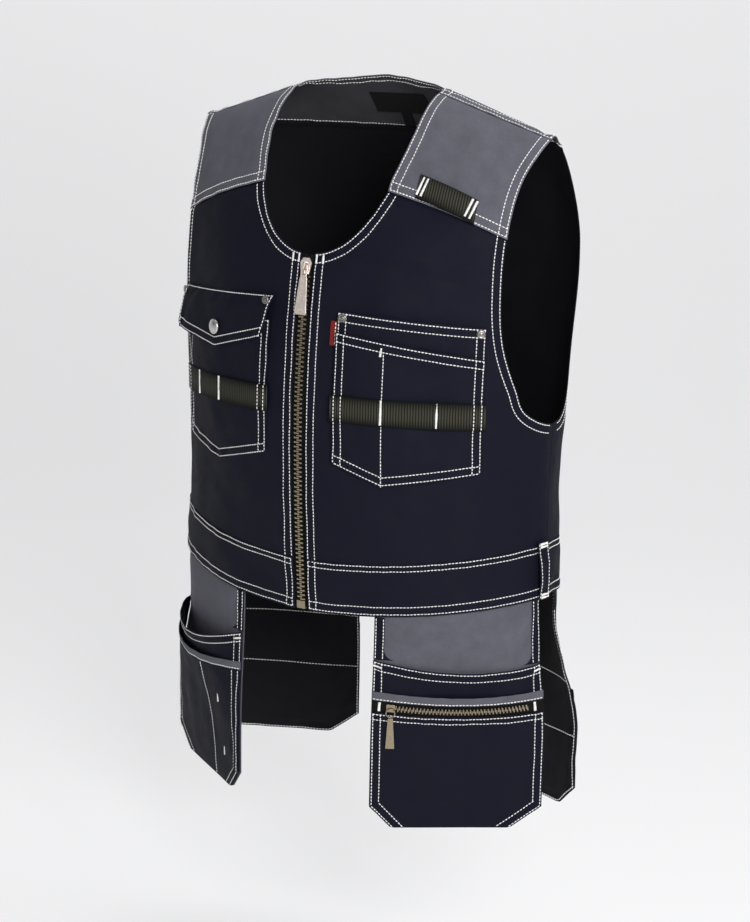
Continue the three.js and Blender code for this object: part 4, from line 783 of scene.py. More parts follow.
def add_node(tree, kind, *inputs, **settings):
    """A new node. Its first inputs follow in their order, each a value or another node's output. None leaves
    an input as it is."""
    node = tree.nodes.new(kind)
    for key, value in settings.items():
        setattr(node, key, value)
    for socket, source in zip(node.inputs, inputs):
        if isinstance(source, bpy.types.NodeSocket):
            tree.links.new(source, socket)
        elif source is not None:
            socket.default_value = source
    return node


def computed(tree, operation, *inputs):
    return add_node(tree, "ShaderNodeMath", *inputs, operation=operation).outputs[0]


def noise(tree, place, scale, detail, roughness=0.5):
    return add_node(tree, "ShaderNodeTexNoise", place, None, scale, detail, roughness).outputs[0]


def ranged(tree, value, *limits):
    return add_node(tree, "ShaderNodeMapRange", value, *limits).outputs[0]


def bumped(tree, height, strength, distance):
    bump = add_node(tree, "ShaderNodeBump", strength, distance)
    tree.links.new(height, bump.inputs["Height"])
    return bump.outputs[0]


def twill_group():
    """Twill weave: fine diagonal ribs by a wave of the cloth's own lengths, broken up by noise, with soft
    mottling of the dye. Gives a tint, a roughness value and a normal."""
    tree, start, end = group_of(
        "Twill",
        [
            ("Flat", "NodeSocketVector", None),
            ("Rib pitch", "NodeSocketFloat", 0.0011),
            ("Depth", "NodeSocketFloat", 0.25),
            ("Wear", "NodeSocketFloat", 0.0),
        ],
        [("Tint", "NodeSocketFloat"), ("Roughness", "NodeSocketFloat"), ("Normal", "NodeSocketVector")],
    )
    flat = start.outputs["Flat"]
    split = add_node(tree, "ShaderNodeSeparateXYZ", flat)
    slant = computed(tree, "MULTIPLY_ADD", split.outputs[0], 1.6, split.outputs[1])
    turns = computed(tree, "DIVIDE", slant, start.outputs["Rib pitch"])
    rib = computed(tree, "SINE", computed(tree, "MULTIPLY", turns, 2 * math.pi))
    fine = noise(tree, flat, 900.0, 3.0, 0.6)
    broad = noise(tree, flat, 42.0, 5.0, 0.62)
    height = computed(tree, "MULTIPLY_ADD", fine, 2.4, rib)
    mottle = ranged(tree, broad, 0.25, 0.75, 0.84, 1.2)
    speck = ranged(tree, fine, 0.2, 0.8, 0.82, 1.2)
    both = computed(tree, "MULTIPLY", mottle, speck)
    tint = computed(tree, "MULTIPLY_ADD", start.outputs["Wear"], 0.45, both)
    tree.links.new(tint, end.inputs["Tint"])
    tree.links.new(ranged(tree, broad, 0.3, 0.7, 0.62, 0.76), end.inputs["Roughness"])
    tree.links.new(bumped(tree, height, start.outputs["Depth"], 0.00022), end.inputs["Normal"])
    return tree


def ribs_group():
    """Ribbed webbing: cords along it, crossed by finer picks. Gives a tint that is painted shade in the
    grooves and painted highlight on the crests, and a normal.
    """
    tree, start, end = group_of(
        "Ribs",
        [
            ("Flat", "NodeSocketVector", None),
            ("Cord", "NodeSocketFloat", 0.0026),
            ("Pick", "NodeSocketFloat", 0.0021),
        ],
        [("Tint", "NodeSocketFloat"), ("Normal", "NodeSocketVector")],
    )
    split = add_node(tree, "ShaderNodeSeparateXYZ", start.outputs["Flat"])
    crests = []
    for axis, pitch in ((1, "Cord"), (0, "Pick")):
        turns = computed(tree, "DIVIDE", split.outputs[axis], start.outputs[pitch])
        sine = computed(tree, "SINE", computed(tree, "MULTIPLY", turns, math.pi))
        crests.append(computed(tree, "ABSOLUTE", sine))
    height = computed(tree, "MULTIPLY", *crests)
    # The tint follows the ribs' height: painted shade in the grooves, painted highlight on the crests.
    tree.links.new(ranged(tree, height, 0.1, 0.85, 0.15, 2.0), end.inputs["Tint"])
    tree.links.new(bumped(tree, height, 0.9, 0.0006), end.inputs["Normal"])
    return tree


def tarnish_group():
    """Tarnish of a small metal part: blotches of noise that darken it and roughen it."""
    tree, start, end = group_of(
        "Tarnish",
        [("Place", "NodeSocketVector", None), ("Amount", "NodeSocketFloat", 0.4)],
        [("Tint", "NodeSocketFloat"), ("Roughness", "NodeSocketFloat")],
    )
    blotch = noise(tree, start.outputs["Place"], 420.0, 4.0, 0.6)
    dark = computed(tree, "MULTIPLY", blotch, start.outputs["Amount"])
    tree.links.new(computed(tree, "SUBTRACT", 1.15, dark), end.inputs["Tint"])
    tree.links.new(ranged(tree, blotch, 0.3, 0.7, 0.22, 0.42), end.inputs["Roughness"])
    return tree


def group_named(name):
    makers = {"Twill": twill_group, "Ribs": ribs_group, "Tarnish": tarnish_group}
    return bpy.data.node_groups.get(name) or makers[name]()


def new_material(name, **values):
    material = bpy.data.materials.new(name)
    material.use_nodes = True
    shader = material.node_tree.nodes["Principled BSDF"]
    for label, value in values.items():
        shader.inputs[label.replace("_", " ")].default_value = value
    return material, material.node_tree, shader


def tinted(tree, colour, factor, shader):
    """The colour times a factor, into the shader's base colour."""
    product = add_node(tree, "ShaderNodeVectorMath", colour, operation="SCALE")
    tree.links.new(factor, product.inputs["Scale"])
    tree.links.new(product.outputs[0], shader.inputs["Base Color"])


def cloth_lengths(tree):
    return add_node(tree, "ShaderNodeUVMap", uv_map="cloth").outputs[0]


def edge_wear(tree):
    return add_node(tree, "ShaderNodeAttribute", attribute_name="wear").outputs["Fac"]


def own_place(tree):
    return add_node(tree, "ShaderNodeTexCoord").outputs["Object"]


def grouped_material(name, colour, group, *inputs, **values):
    """A material that a node group tints, and gives its roughness and normal where it has them. An input
    that is a function gets its source from the material's own nodes."""
    tree, shader = new_material(name, **values)[1:]
    sources = [source(tree) if callable(source) else source for source in inputs]
    for output in add_node(tree, "ShaderNodeGroup", *sources, node_tree=group_named(group)).outputs:
        if output.name == "Tint":
            tinted(tree, colour, output, shader)
        else:
            tree.links.new(output, shader.inputs[output.name])


def twill_material(name, colour, sheen=0.0, depth=0.25, pitch=0.0011):
    grouped_material(
        name, colour, "Twill", cloth_lengths, pitch, depth, edge_wear, Sheen_Weight=sheen,
        Sheen_Roughness=0.45, Sheen_Tint=(0.75, 0.82, 1, 1), Specular_IOR_Level=0.14,
    )


def thread_material(name, colour):
    tree, shader = new_material(name, Roughness=0.55, Sheen_Weight=0.15)[1:]
    grain = noise(tree, own_place(tree), 300.0, 2.0)
    tinted(tree, colour, ranged(tree, grain, 0.3, 0.7, 0.72, 1.05), shader)


def material_named(name):
    """One of the finishes, made when it is first asked for."""
    if name in bpy.data.materials:
        return bpy.data.materials[name]
    settings = vest_settings()
    twills = {
        "navy twill": (settings.navy,),
        # The inside of the navy cloth is a near-black colour: painted shade of the vest's dark interior.
        "navy inside painted shade": ((0.004, 0.004, 0.006),),
        "grey cloth": (settings.grey, 0.03, 0.2, 0.0013),
        # The inside of the grey cloth is a darker grey than its outside: painted shade on the cloth's inner
        # face.
        "grey inside painted shade": ((0.040, 0.040, 0.046),),
        "red tab": ((0.16, 0.012, 0.013), 0.02),
        "plain label": ((0.006, 0.006, 0.007), 0.0, 0.15),
    }
    ribbed = {
        "woven tape": ((0.007, 0.007, 0.008), 0.0016, 0.0011),
        "ribbed webbing": (settings.webbing, 0.0303, 0.0031),
    }
    metals = {
        "old brass": (settings.brass, 0.55),
        "warm nickel": (settings.nickel, 0.3),
        "bright steel": ((0.62, 0.61, 0.60), 0.3),
        "dark nickel": ((0.33, 0.31, 0.29), 0.6),
    }
    if name in twills:
        twill_material(name, *twills[name])
    elif name in ribbed:
        colour, cord, pick = ribbed[name]
        grouped_material(
            name, colour, "Ribs", cloth_lengths, cord, pick, Roughness=0.7, Specular_IOR_Level=0.12
        )
    elif name == "white thread":
        thread_material(name, settings.thread)
    else:
        colour, amount = metals[name]
        grouped_material(name, colour, "Tarnish", own_place, amount, Metallic=1.0)
    return bpy.data.materials[name]


# Outside and inside finish of each kind of cloth. The navy and grey insides are darker colours: painted shade
# inside the vest.
FINISHES = {
    "navy_cloth": ("navy twill", "navy inside painted shade"),
    "grey_cloth": ("grey cloth", "grey inside painted shade"),
    "webbing": ("ribbed webbing", "ribbed webbing"),
    "zip_tape": ("woven tape", "woven tape"),
    "label": ("plain label", "plain label"),
    "side_tab": ("red tab", "red tab"),
}


def add_cloth(node, slot, cloth):
    """A cloth as its dressed piece, with its finish outside and inside."""
    outside, inside = [material_named(name) for name in FINISHES[slot]]
    cloth_object(node, cloth, outside, inside)
    return cloth


# Places of the body's pieces, as functions of the shares across and up
def front_panel_place(u, v):
    bottom = band_top(mix(front_start(), 90, u)) - UNDERLAP
    height = mix(bottom, front_seam(u) + UNDERLAP, v)
    return on_body(mix(front_edge(height), side_edge(height, True), u), height)


def zip_side():
    """The front edge beside the zip, from the waistband to the foot of the neckline."""
    height = np.linspace(BAND_HEIGHT, ZIP_TOP, 200)
    return body(turn_at_x(SLOT_HALF, height), height)


def neckline():
    """The neckline's edge on the front panel: a rounded curve that starts level beside the zip."""
    x = np.linspace(SLOT_HALF, NECK_HALF_WIDTH * 0.9, 300)
    below = (1 - (x / NECK_HALF_WIDTH) ** NECKLINE_ROUNDNESS) ** (1 / NECKLINE_ROUNDNESS)
    height = NECK_CURVE_TOP - (NECK_CURVE_TOP - ZIP_TOP) * below
    kept = height < FRONT_SEAM_NECK
    return body(turn_at_x(x[kept], height[kept]), height[kept])


def with_rows(shares, bottom, top, heights):
    """Row shares with more rows at some heights of an edge that runs from bottom to top."""
    more = (np.asarray(heights) - bottom) / (top - bottom)
    every = np.sort(np.concatenate([shares, more]))
    return every[np.concatenate([[True], np.diff(every) > 0.0006])]


def under_yoke(length):
    """The lift of a panel whose top edge steps down behind a yoke."""
    return lambda u, v: -(CLOTH + 0.1) * ease(1 - ((1 - v) * length - UNDERLAP) / 2.5)


def front_start():
    return turn_at_x(SLOT_HALF, BAND_HEIGHT)


def back_panel_place(u, v):
    height = mix(band_top(mix(90, 270, u)) - UNDERLAP, BACK_SEAM + UNDERLAP, v)
    start = side_edge(height, False)
    return on_body(mix(start, 360 - start, u), height)


def front_yoke_place(u, v):
    seam = front_seam(u) + SEAM_GAP / 2

    def seam_x(height):
        turn = mix(front_edge(height), side_edge(height, True), u)
        return half_width(height) * np.sin(np.radians(turn)) ** (2 / FRONT_ROUNDNESS)

    foot = seam_x(seam)
    lean = mix(lean_at(foot, seam, True), SHOULDER_SEAM_LEAN - 0.4, v)
    x = foot
    for _ in range(8):
        height = shoulder(x, lean)[..., 2]
        x = mix(mix(neck_x(height), armhole_x(height, True), u), foot, (1 - v) ** 6)
    return on_shoulder(x, lean)


def back_yoke_place(u, v):
    side = np.where(u < 1.5, -1.0, 1.0)
    outward = np.where(side < 0, 1 - u, u - 2)
    x = NECK_HALF_WIDTH * np.sin(np.radians(90 * np.clip(np.abs(u - 1.5) * 2, 0, 1))) + 0 * v
    for _ in range(10):
        inside = 1 - np.minimum(1, np.abs(x) / NECK_HALF_WIDTH) ** NECKLINE_ROUNDNESS
        seam = SHOULDER_SEAM_LEAN + 0.4
        top = seam + (lean_at(0.0, NAPE, False) - seam) * inside ** (1 / NECKLINE_ROUNDNESS)
        lean = mix(top, lean_at(x, BACK_SEAM + SEAM_GAP / 2, False), v)
        height = shoulder(SHOULDER_HALF_WIDTH, lean)[..., 2]
        outer = mix(NECK_HALF_WIDTH, armhole_x(height, lean < 90), outward)
        x = np.where(outward > 0, outer, x)
    return on_shoulder(side * x, lean)


def waistband_place(hem_from, hem_to, from_turn, to_turn):
    def place(u, v):
        height = hem_height(mix(hem_from, hem_to, u)) + BAND_HEIGHT * v
        return on_body(mix(from_turn(height), to_turn(height), u), height)

    return place


def above_armhole(cloth, side):
    """The part of a panel's side edge that borders the armhole."""
    edge = cloth.edge(side)
    return edge[edge[:, 2] > ARMHOLE_FOOT]


class VEST_OT_body(bpy.types.Operator):
    """Front panels, back panel, yokes and waistband with their topstitching"""

    bl_idname = "vest.body"
    bl_label = "Body"

    def execute(self, context):
        double = double_rows()
        for place in PLACES:
            mirror = place == "right"
            cloths = []
            foot_rows = np.array([-1, 0.4, 1, 2, 3.5, 5.5, 8, 12, 17])
            rows = with_rows(
                graded(FRONT_PANEL_LENGTH), BAND_HEIGHT - UNDERLAP, FRONT_SEAM_NECK + UNDERLAP,
                ZIP_TOP + foot_rows,
            )
            side_foot = band_top(90) - UNDERLAP
            rows = with_rows(rows, side_foot, FRONT_SEAM_ARM + UNDERLAP, ARMHOLE_FOOT + foot_rows)
            panel = Cloth(
                graded(212), rows, front_panel_place, under_yoke(FRONT_PANEL_LENGTH), CLOTH,
                [
                    Seam("left", double, hem=12, sewn=False),
                    *seams_on(("right", "bottom", "top"), (), (0, 0), 0),
                ],
                mirror=mirror,
            )
            zip_edge, neck = zip_side(), neckline()
            armhole = above_armhole(panel, "right")
            for distance in double:
                line, facing = panel.offset(zip_edge, -distance)
                panel.sew_line(line, facing)
                panel.tack_line(line, facing, run_along(line)[-1] - 10 + np.arange(0, 9.0, TACK_STEP))
                panel.sew_line(*panel.offset(neck, -distance))
                panel.sew_line(*panel.offset(armhole, distance))
            cloths.append(
                add_cloth(f"front_panel_{place}", "navy_cloth", panel)
            )
            yoke = Cloth(
                graded(118), graded(145), front_yoke_place, 0.0, CLOTH,
                [
                    Seam("bottom", double, (1, 1), 12),
                    *seams_on(("left", "right"), double, (2, 0.6), 12),
                    Seam("top", (), (0, 0), 0),
                ],
                mirror=mirror, fold=0.6,
            )
            cloths.append(add_cloth(f"front_yoke_{place}", "grey_cloth", yoke))
            band = Cloth(
                graded(294), graded(62),
                waistband_place(
                    front_start(), 90, lambda h: turn_at_x(SLOT_HALF, h),
                    lambda h: turn_at_depth(SEAM_GAP / 2, h, True),
                ),
                BAND_PROUD, BAND_CLOTH,
                [
                    Seam("top", (2.4, 8.4), (2, 0.6), 0),
                    Seam("bottom", double_rows(BAND_ROW), (2, 0.6), 12),
                    Seam("left", double, (2, 2), 12),
                ],
                mirror=mirror, seed=23,
            )
            cloths.append(add_cloth(f"waistband_front_{place}", "navy_cloth", band))
            thread_object(f"stitches_front_{place}", cloths)
        rows = with_rows(graded(BACK_PANEL_LENGTH), side_foot, BACK_SEAM + UNDERLAP, ARMHOLE_FOOT + foot_rows)
        back = Cloth(
            graded(600, 6), rows, back_panel_place, under_yoke(BACK_PANEL_LENGTH), CLOTH,
            [Seam("top", (EDGE_ROW,), (1, 1), 0), *seams_on(("left", "right"), (), (0, 0), 0)],
        )
        for side, inward in (("left", -1), ("right", 1)):
            for distance in double:
                back.sew_line(*back.offset(above_armhole(back, side), inward * distance))
        add_cloth("back_panel", "navy_cloth", back)
        across = graded(128, 5)
        columns = np.concatenate([across, 1 + np.linspace(0, 1, 45)[1:], 2 + across[1:]])
        yoke = Cloth(
            columns, graded(150, 5), back_yoke_place, 0.0, CLOTH,
            [
                *seams_on(("top", "left", "right"), double, (1, 1), 12),
                Seam("bottom", double, hem=12, sewn=False),
            ],
            fold=0.6,
        )
        upper = yoke.edge("bottom")
        for part in (yoke.u_shares <= 1, (yoke.u_shares >= 1) & (yoke.u_shares <= 2), yoke.u_shares >= 2):
            for distance in double:
                yoke.sew_line(*yoke.offset(upper[part], distance))
        nape = upper[(yoke.u_shares >= 1) & (yoke.u_shares <= 2)]
        for distance in double:
            line, facing = yoke.offset(nape, distance)
            yoke.sew_line(line - facing * CLOTH, -facing)
        yoke.sew("top", 6.0, (1, 1), inside=True)
        add_cloth("back_yoke", "grey_cloth", yoke)
        band = Cloth(
            graded(600, 6), graded(62),
            waistband_place(
                90, 270, lambda h: turn_at_depth(SEAM_GAP / 2, h, False),
                lambda h: 360 - turn_at_depth(SEAM_GAP / 2, h, False),
            ),
            BAND_PROUD, BAND_CLOTH,
            [Seam("top", (2.4, 8.4), (1, 1), 0), Seam("bottom", double_rows(BAND_ROW), (1, 1), 12)],
            seed=23,
        )
        add_cloth("waistband_back", "navy_cloth", band)
        thread_object("stitches_back", [back, yoke, band])
        return {"FINISHED"}


def round_edges(thing, width, segments, angle):
    bevel = thing.modifiers.new("round edges", "BEVEL")
    bevel.width = width * MM
    bevel.segments = segments
    bevel.angle_limit = math.radians(angle)


def bevelled_copy(node, material, width, body_name="vest"):
    """A frame's metal part with its shared corners joined, its edges rounded and a better finish."""
    source = bpy.data.objects[node]
    mesh = source.data.copy()
    mesh.transform(source.matrix_world)
    mesh.materials.clear()
    mesh.materials.append(material_named(material))
    thing = bpy.data.objects.new(node + "_metal", mesh)
    bpy.context.scene.collection.objects.link(thing)
    weld = thing.modifiers.new("weld", "WELD")
    weld.merge_threshold = 2e-6
    round_edges(thing, width, 3, 32)
    mesh.polygons.foreach_set("use_smooth", np.ones(len(mesh.polygons), bool))
    normals = thing.modifiers.new("face normals", "WEIGHTED_NORMAL")
    normals.keep_sharp = False
    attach(thing, body_name)
    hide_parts(node)


def teeth_object(node, centre, normal, along, inward, size):
    """A row of zip teeth. Each is a block, bevelled, that stands out from the tape: narrower at its tip, with
    a waist behind its head."""
    length, tall, thick = size
    profile_x = np.array([0.0, 0.22, 0.45, 0.78, 1.0]) * length
    profile_y = np.array([0.62, 1.0, 0.72, 0.86, 0.8]) * tall / 2
    rings = []
    for x, half in zip(profile_x, profile_y):
        for y, z in ((-1, -0.5), (1, -0.5), (1, 0.5), (-1, 0.5)):
            rings.append((x, y * half, z * thick * (0.8 if x == 0 else 1)))
    local = np.array(rings)
    points = (
        centre[:, None]
        + inward[:, None] * local[None, :, 0:1]
        + along[:, None] * local[None, :, 1:2]
        + normal[:, None] * local[None, :, 2:3]
    )
    count, per = len(centre), len(local)
    start = np.arange(count)[:, None] * per
    faces = []
    for ring in range(4):
        for i in range(4):
            j = (i + 1) % 4
            faces.append(start + [4 * ring + i, 4 * ring + j, 4 * ring + 4 + j, 4 * ring + 4 + i])
    faces.append(start + [3, 2, 1, 0])
    faces.append(start + [16, 17, 18, 19])
    faces = np.concatenate(faces)
    turned = np.einsum("ij,ij->i", np.cross(inward, along), normal).mean() < 0
    mesh = mesh_from(node + "_metal", points, [faces[:, ::-1] if turned else faces], smooth=False)
    thing = keep(node + "_metal", mesh, material_named("old brass"))
    round_edges(thing, 0.22, 1, 40)
    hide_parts(node)


def lathe_object(node, profile, seat, out, material, sides=48):
    """A round part: a profile of (radius, height) pairs turned about the cloth's normal."""
    profile = np.array(profile, float)
    helper = np.array([0.0, 0.0, 1.0])
    x = unit(np.cross(helper, out))
    y = np.cross(out, x)
    angle = np.linspace(0, 2 * np.pi, sides, endpoint=False)
    circle = np.cos(angle)[:, None] * x + np.sin(angle)[:, None] * y
    points = seat + profile[:, None, 0:1] * circle[None] + profile[:, None, 1:2] * out
    ring = np.arange(sides)
    following = (ring + 1) % sides
    faces = [
        np.stack([low + ring, low + following, low + sides + following, low + sides + ring], 1)
        for low in range(0, (len(profile) - 1) * sides, sides)
    ]
    ends = [ring[::-1][None], (ring + (len(profile) - 1) * sides)[None]]
    mesh = mesh_from(node + "_metal", points, [np.concatenate(faces)] + ends)
    thing = keep(node + "_metal", mesh, material_named(material))
    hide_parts(node)


def rivet_profile(radius, height):
    return [
        (radius * 0.9, -0.6), (radius, 0.1), (radius, height * 0.45), (radius * 0.93, height * 0.75),
        (radius * 0.8, height * 0.92), (radius * 0.62, height * 0.9), (radius * 0.55, height * 0.72),
        (radius * 0.48, height * 0.72), (radius * 0.4, height * 0.95), (radius * 0.2, height), (0.05, height),
    ]


def snap_profile(radius, height):
    return [
        (radius * 0.92, -0.8), (radius, 0.1), (radius, height * 0.35), (radius * 0.96, height * 0.6),
        (radius * 0.86, height * 0.76), (radius * 0.8, height * 0.7), (radius * 0.74, height * 0.72),
        (radius * 0.6, height * 0.88), (radius * 0.35, height * 0.97), (0.05, height),
    ]


class VEST_OT_main_zip(bpy.types.Operator):
    """Main zip: tapes, teeth, slider, pull and retainer box"""

    bl_idname = "vest.main_zip"
    bl_label = "Main zip"

    def execute(self, context):
        def tape_place(u, v):
            height = mix(1.5, ZIP_TOP - 1, v)
            return on_body(turn_at_x(mix(TAPE_EDGE, SLOT_HALF + TAPE_TUCK, u), height), height)

        for place in PLACES:
            mirror = place == "right"
            tape = Cloth(
                graded(17), graded(405), tape_place, TAPE_OUTSIDE, TAPE_CLOTH, fold=0.0, mirror=mirror
            )
            add_cloth(f"zip_tape_{place}", "zip_tape", tape)
            start = BOX_TOP + 0.4 + (TOOTH_PITCH / 2 if mirror else 0)
            count = int((TEETH_TOP - start - 2.3) / TOOTH_PITCH) + 1
            height = start + np.arange(count) * TOOTH_PITCH + 1.15
            seat, normal = on_body(turn_at_x(np.full(count, 1.5), height), height)
            seat[:, 0] = 5.2
            seat = seat + normal * -0.6
            along = unit(np.gradient(seat, axis=0))
            inward = np.tile([-1.0, 0, 0], (count, 1))
            if mirror:
                seat, normal, along, inward = [array * (-1, 1, 1) for array in (seat, normal, along, inward)]
            teeth_object(f"zip_teeth_{place}", seat, normal, along, inward, TOOTH_SIZE)
        bevelled_copy("zip_retainer_box", "old brass", 0.7)
        bevelled_copy("zip_slider", "warm nickel", 0.5)
        bevelled_copy("zip_pull", "warm nickel", 0.45, "pull")
        return {"FINISHED"}


def pocket_distance(u):
    return POCKET_INNER + POCKET_WIDTH * u


def vertexed(u, share, inner, vertex, outer):
    return np.where(u < share, mix(inner, vertex, u / share), mix(vertex, outer, (u - share) / (1 - share)))


def pocket_swell(u, height):
    rise = np.clip((height - POCKET_VERTEX) / (POCKET_TOP_OUTER - POCKET_VERTEX), 0, 1)
    return np.sin(np.pi * np.clip(u, 0, 1)) ** 0.8 * rise


def tall_lift(u, height):
    return LAYER_GAP + PATCH_CLOTH + POCKET_BULGE * pocket_swell(u, height)


def short_lift(u, height):
    return tall_lift(u, height) + LAYER_GAP + PATCH_CLOTH + SHORT_BULGE * pocket_swell(u, height)


def tall_top(u):
    return mix(POCKET_TOP_INNER, POCKET_TOP_OUTER, u)


def short_top(u):
    return tall_top(u) - mix(SHORT_DROP_INNER, SHORT_DROP_OUTER, u)


def patch(distance, bottom, top, lift, u, v, thick=PATCH_CLOTH, **others):
    """A patch on the body between two heights that depend on the share across."""

    def place(u, v):
        return on_girth(distance(u, v), mix(bottom(u), top(u), v))

    return Cloth(u, v, place, lambda u, v: lift(u, mix(bottom(u), top(u), v)), thick, **others)


def vertex_columns(share, width):
    left = graded(width * share)[:-2] * share
    right = share + graded(width * (1 - share))[2:] * (1 - share)
    return np.concatenate([left[left < share - 0.01], [share], right[right > share + 0.01]])


class VEST_OT_chest_pockets(bpy.types.Operator):
    """Chest pockets with their straps, flap, rivets, snap and side tab"""

    bl_idname = "vest.chest_pockets"
    bl_label = "Chest pockets"

    def pocket(self, share, top, lift, mirror, top_rows):
        double = double_rows()
        return patch(
            lambda u, v: pocket_distance(u) + 0 * v,
            lambda u: vertexed(u, share, POCKET_BOTTOM_INNER, POCKET_VERTEX, POCKET_BOTTOM_OUTER),
            top, lift, vertex_columns(share, POCKET_WIDTH), graded(180),
            seams=[
                *seams_on(("left", "right"), double, (2.5, 1)),
                Seam("bottom", double, (3, 3)), Seam("top", top_rows, (1, 1), 12),
            ],
            mirror=mirror, seed=37, soft=0.25,
        )

    def strap(self, under, mirror, outer_share):
        over = STRAP_OVERHANG / POCKET_WIDTH

        def foot(u):
            return mix(STRAP_INNER, STRAP_OUTER, u)

        strap = patch(
            lambda u, v: pocket_distance(mix(-over, 1 + over, u)) + 0 * v,
            foot, lambda u: foot(u) + STRAP_HEIGHT,
            lambda u, height: under(mix(-over, 1 + over, u), height) + LAYER_GAP + WEBBING + 0.5,
            graded(172, 3), graded(30, 3), WEBBING, mirror=mirror,
        )
        for side in PLACES:
            for distance in double_rows(STRAP_OVERHANG + EDGE_ROW):
                strap.sew(side, distance, (0.5, 0.5))
        for share in outer_share:
            strap.bar(share, 0.5, STRAP_HEIGHT - 3, turned=True, width=3.0)
        return strap

    def caps(self, names, distances, heights, lifts, mirror, profile):
        for name, distance, height, lift in zip(names, distances, heights, lifts):
            seat, out = on_girth(np.float64(distance), np.float64(height))
            fold = vest_settings().fold_height / MM
            seat = seat + out * (lift + 0.5 * fold)
            flip = np.array((-1, 1, 1)) if mirror else np.ones(3)
            material = "bright steel" if name == "flap_snap" else "dark nickel"
            lathe_object(name, profile, seat * flip, out * flip, material)

    def execute(self, context):
        double = double_rows()
        share = LEFT_VERTEX
        tall = self.pocket(share, tall_top, tall_lift, False, double)
        short = self.pocket(share, short_top, short_lift, False, double)
        column = int(np.argmin(np.abs(short.u_shares - share)))
        cut = short.run_b[:, column] < short.run_b[-1, column] - 12
        short.sew_line(short.points[cut, column], short.normal[cut, column])
        short.bar(share, 0.93, 9, turned=True)
        add_cloth("chest_pocket_left_inner", "navy_cloth", tall)
        add_cloth("chest_pocket_left_outer", "navy_cloth", short)
        strap = self.strap(short_lift, False, (0.35, 0.69))
        add_cloth("chest_webbing_left", "webbing", strap)
        inset = RIVET_INSET / POCKET_WIDTH
        shares = (inset, 1 - inset)
        self.caps(
            ("chest_rivet_left_inner", "chest_rivet_left_outer"), [pocket_distance(u) for u in shares],
            [tall_top(u) - RIVET_INSET for u in shares], [tall_lift(u, tall_top(u)) + 0.6 for u in shares],
            False, rivet_profile(*RIVET_SIZE),
        )
        tab = patch(
            lambda u, v: POCKET_INNER - SEAM_GAP - 8 * (1 - u) + 0 * v, lambda u: 310.0 + 0 * u,
            lambda u: 337.0 + 0 * u, lambda u, height: LAYER_GAP + PATCH_CLOTH + 0 * u,
            graded(8, 2), graded(27, 2),
            seams=[Seam("right", (1.6,), (1, 1), 0)],
        )
        add_cloth("side_tab", "side_tab", tab)
        thread_object("stitches_chest_left", [tall, short, strap, tab])

        share = RIGHT_VERTEX
        pocket = self.pocket(share, lambda u: FLAPPED_POCKET_TOP + 0 * u, tall_lift, True, (EDGE_ROW,))
        add_cloth("chest_pocket_right", "navy_cloth", pocket)
        strap = self.strap(tall_lift, True, (0.46, 0.72))
        add_cloth("chest_webbing_right", "webbing", strap)

        def flap_top(u):
            return mix(FLAP_TOP_INNER, FLAP_TOP_OUTER, u)

        def flap_lift(u, height):
            below = flap_top(u) - height
            flare = FLAP_FLARE * np.clip(u, 0, 1) ** 3 * ease(below / 50)
            return LAYER_GAP + PATCH_CLOTH + 4.9 * ease(below / 16) + flare

        def flap_distance(u, v):
            taper = FLAP_TAPER * (1 - v)
            return POCKET_INNER - FLAP_OVERHANG + taper + (POCKET_WIDTH + 2 * (FLAP_OVERHANG - taper)) * u

        flap = patch(
            flap_distance, lambda u: vertexed(u, share, FLAP_SIDE_INNER, FLAP_VERTEX, FLAP_SIDE_OUTER),
            flap_top, flap_lift, vertex_columns(share, 170), graded(58, 3),
            seams=[
                Seam("bottom", double, (2.2, 2.2), 12), Seam("top", (EDGE_ROW,), (1, 1), 0),
                Seam("left", (EDGE_ROW,), (1, 3), 0), Seam("right", (EDGE_ROW,), (3, 1), 0),
            ],
            mirror=True, seed=41,
        )
        add_cloth("chest_pocket_flap", "navy_cloth", flap)
        up = flap_top(share) - SNAP_DROP
        self.caps(
            ("flap_snap",), [pocket_distance(share)], [up], [flap_lift(share, up) + 0.3], True,
            snap_profile(*SNAP_SIZE),
        )
        self.caps(
            ("flap_rivet_inner", "flap_rivet_outer"), [flap_distance(u, 0.9) for u in shares],
            [flap_top(u) - RIVET_INSET for u in shares],
            [flap_lift(u, flap_top(u) - 9) + 0.3 for u in shares],
            True, rivet_profile(*RIVET_SIZE),
        )
        thread_object("stitches_chest_right", [pocket, strap, flap])
        return {"FINISHED"}


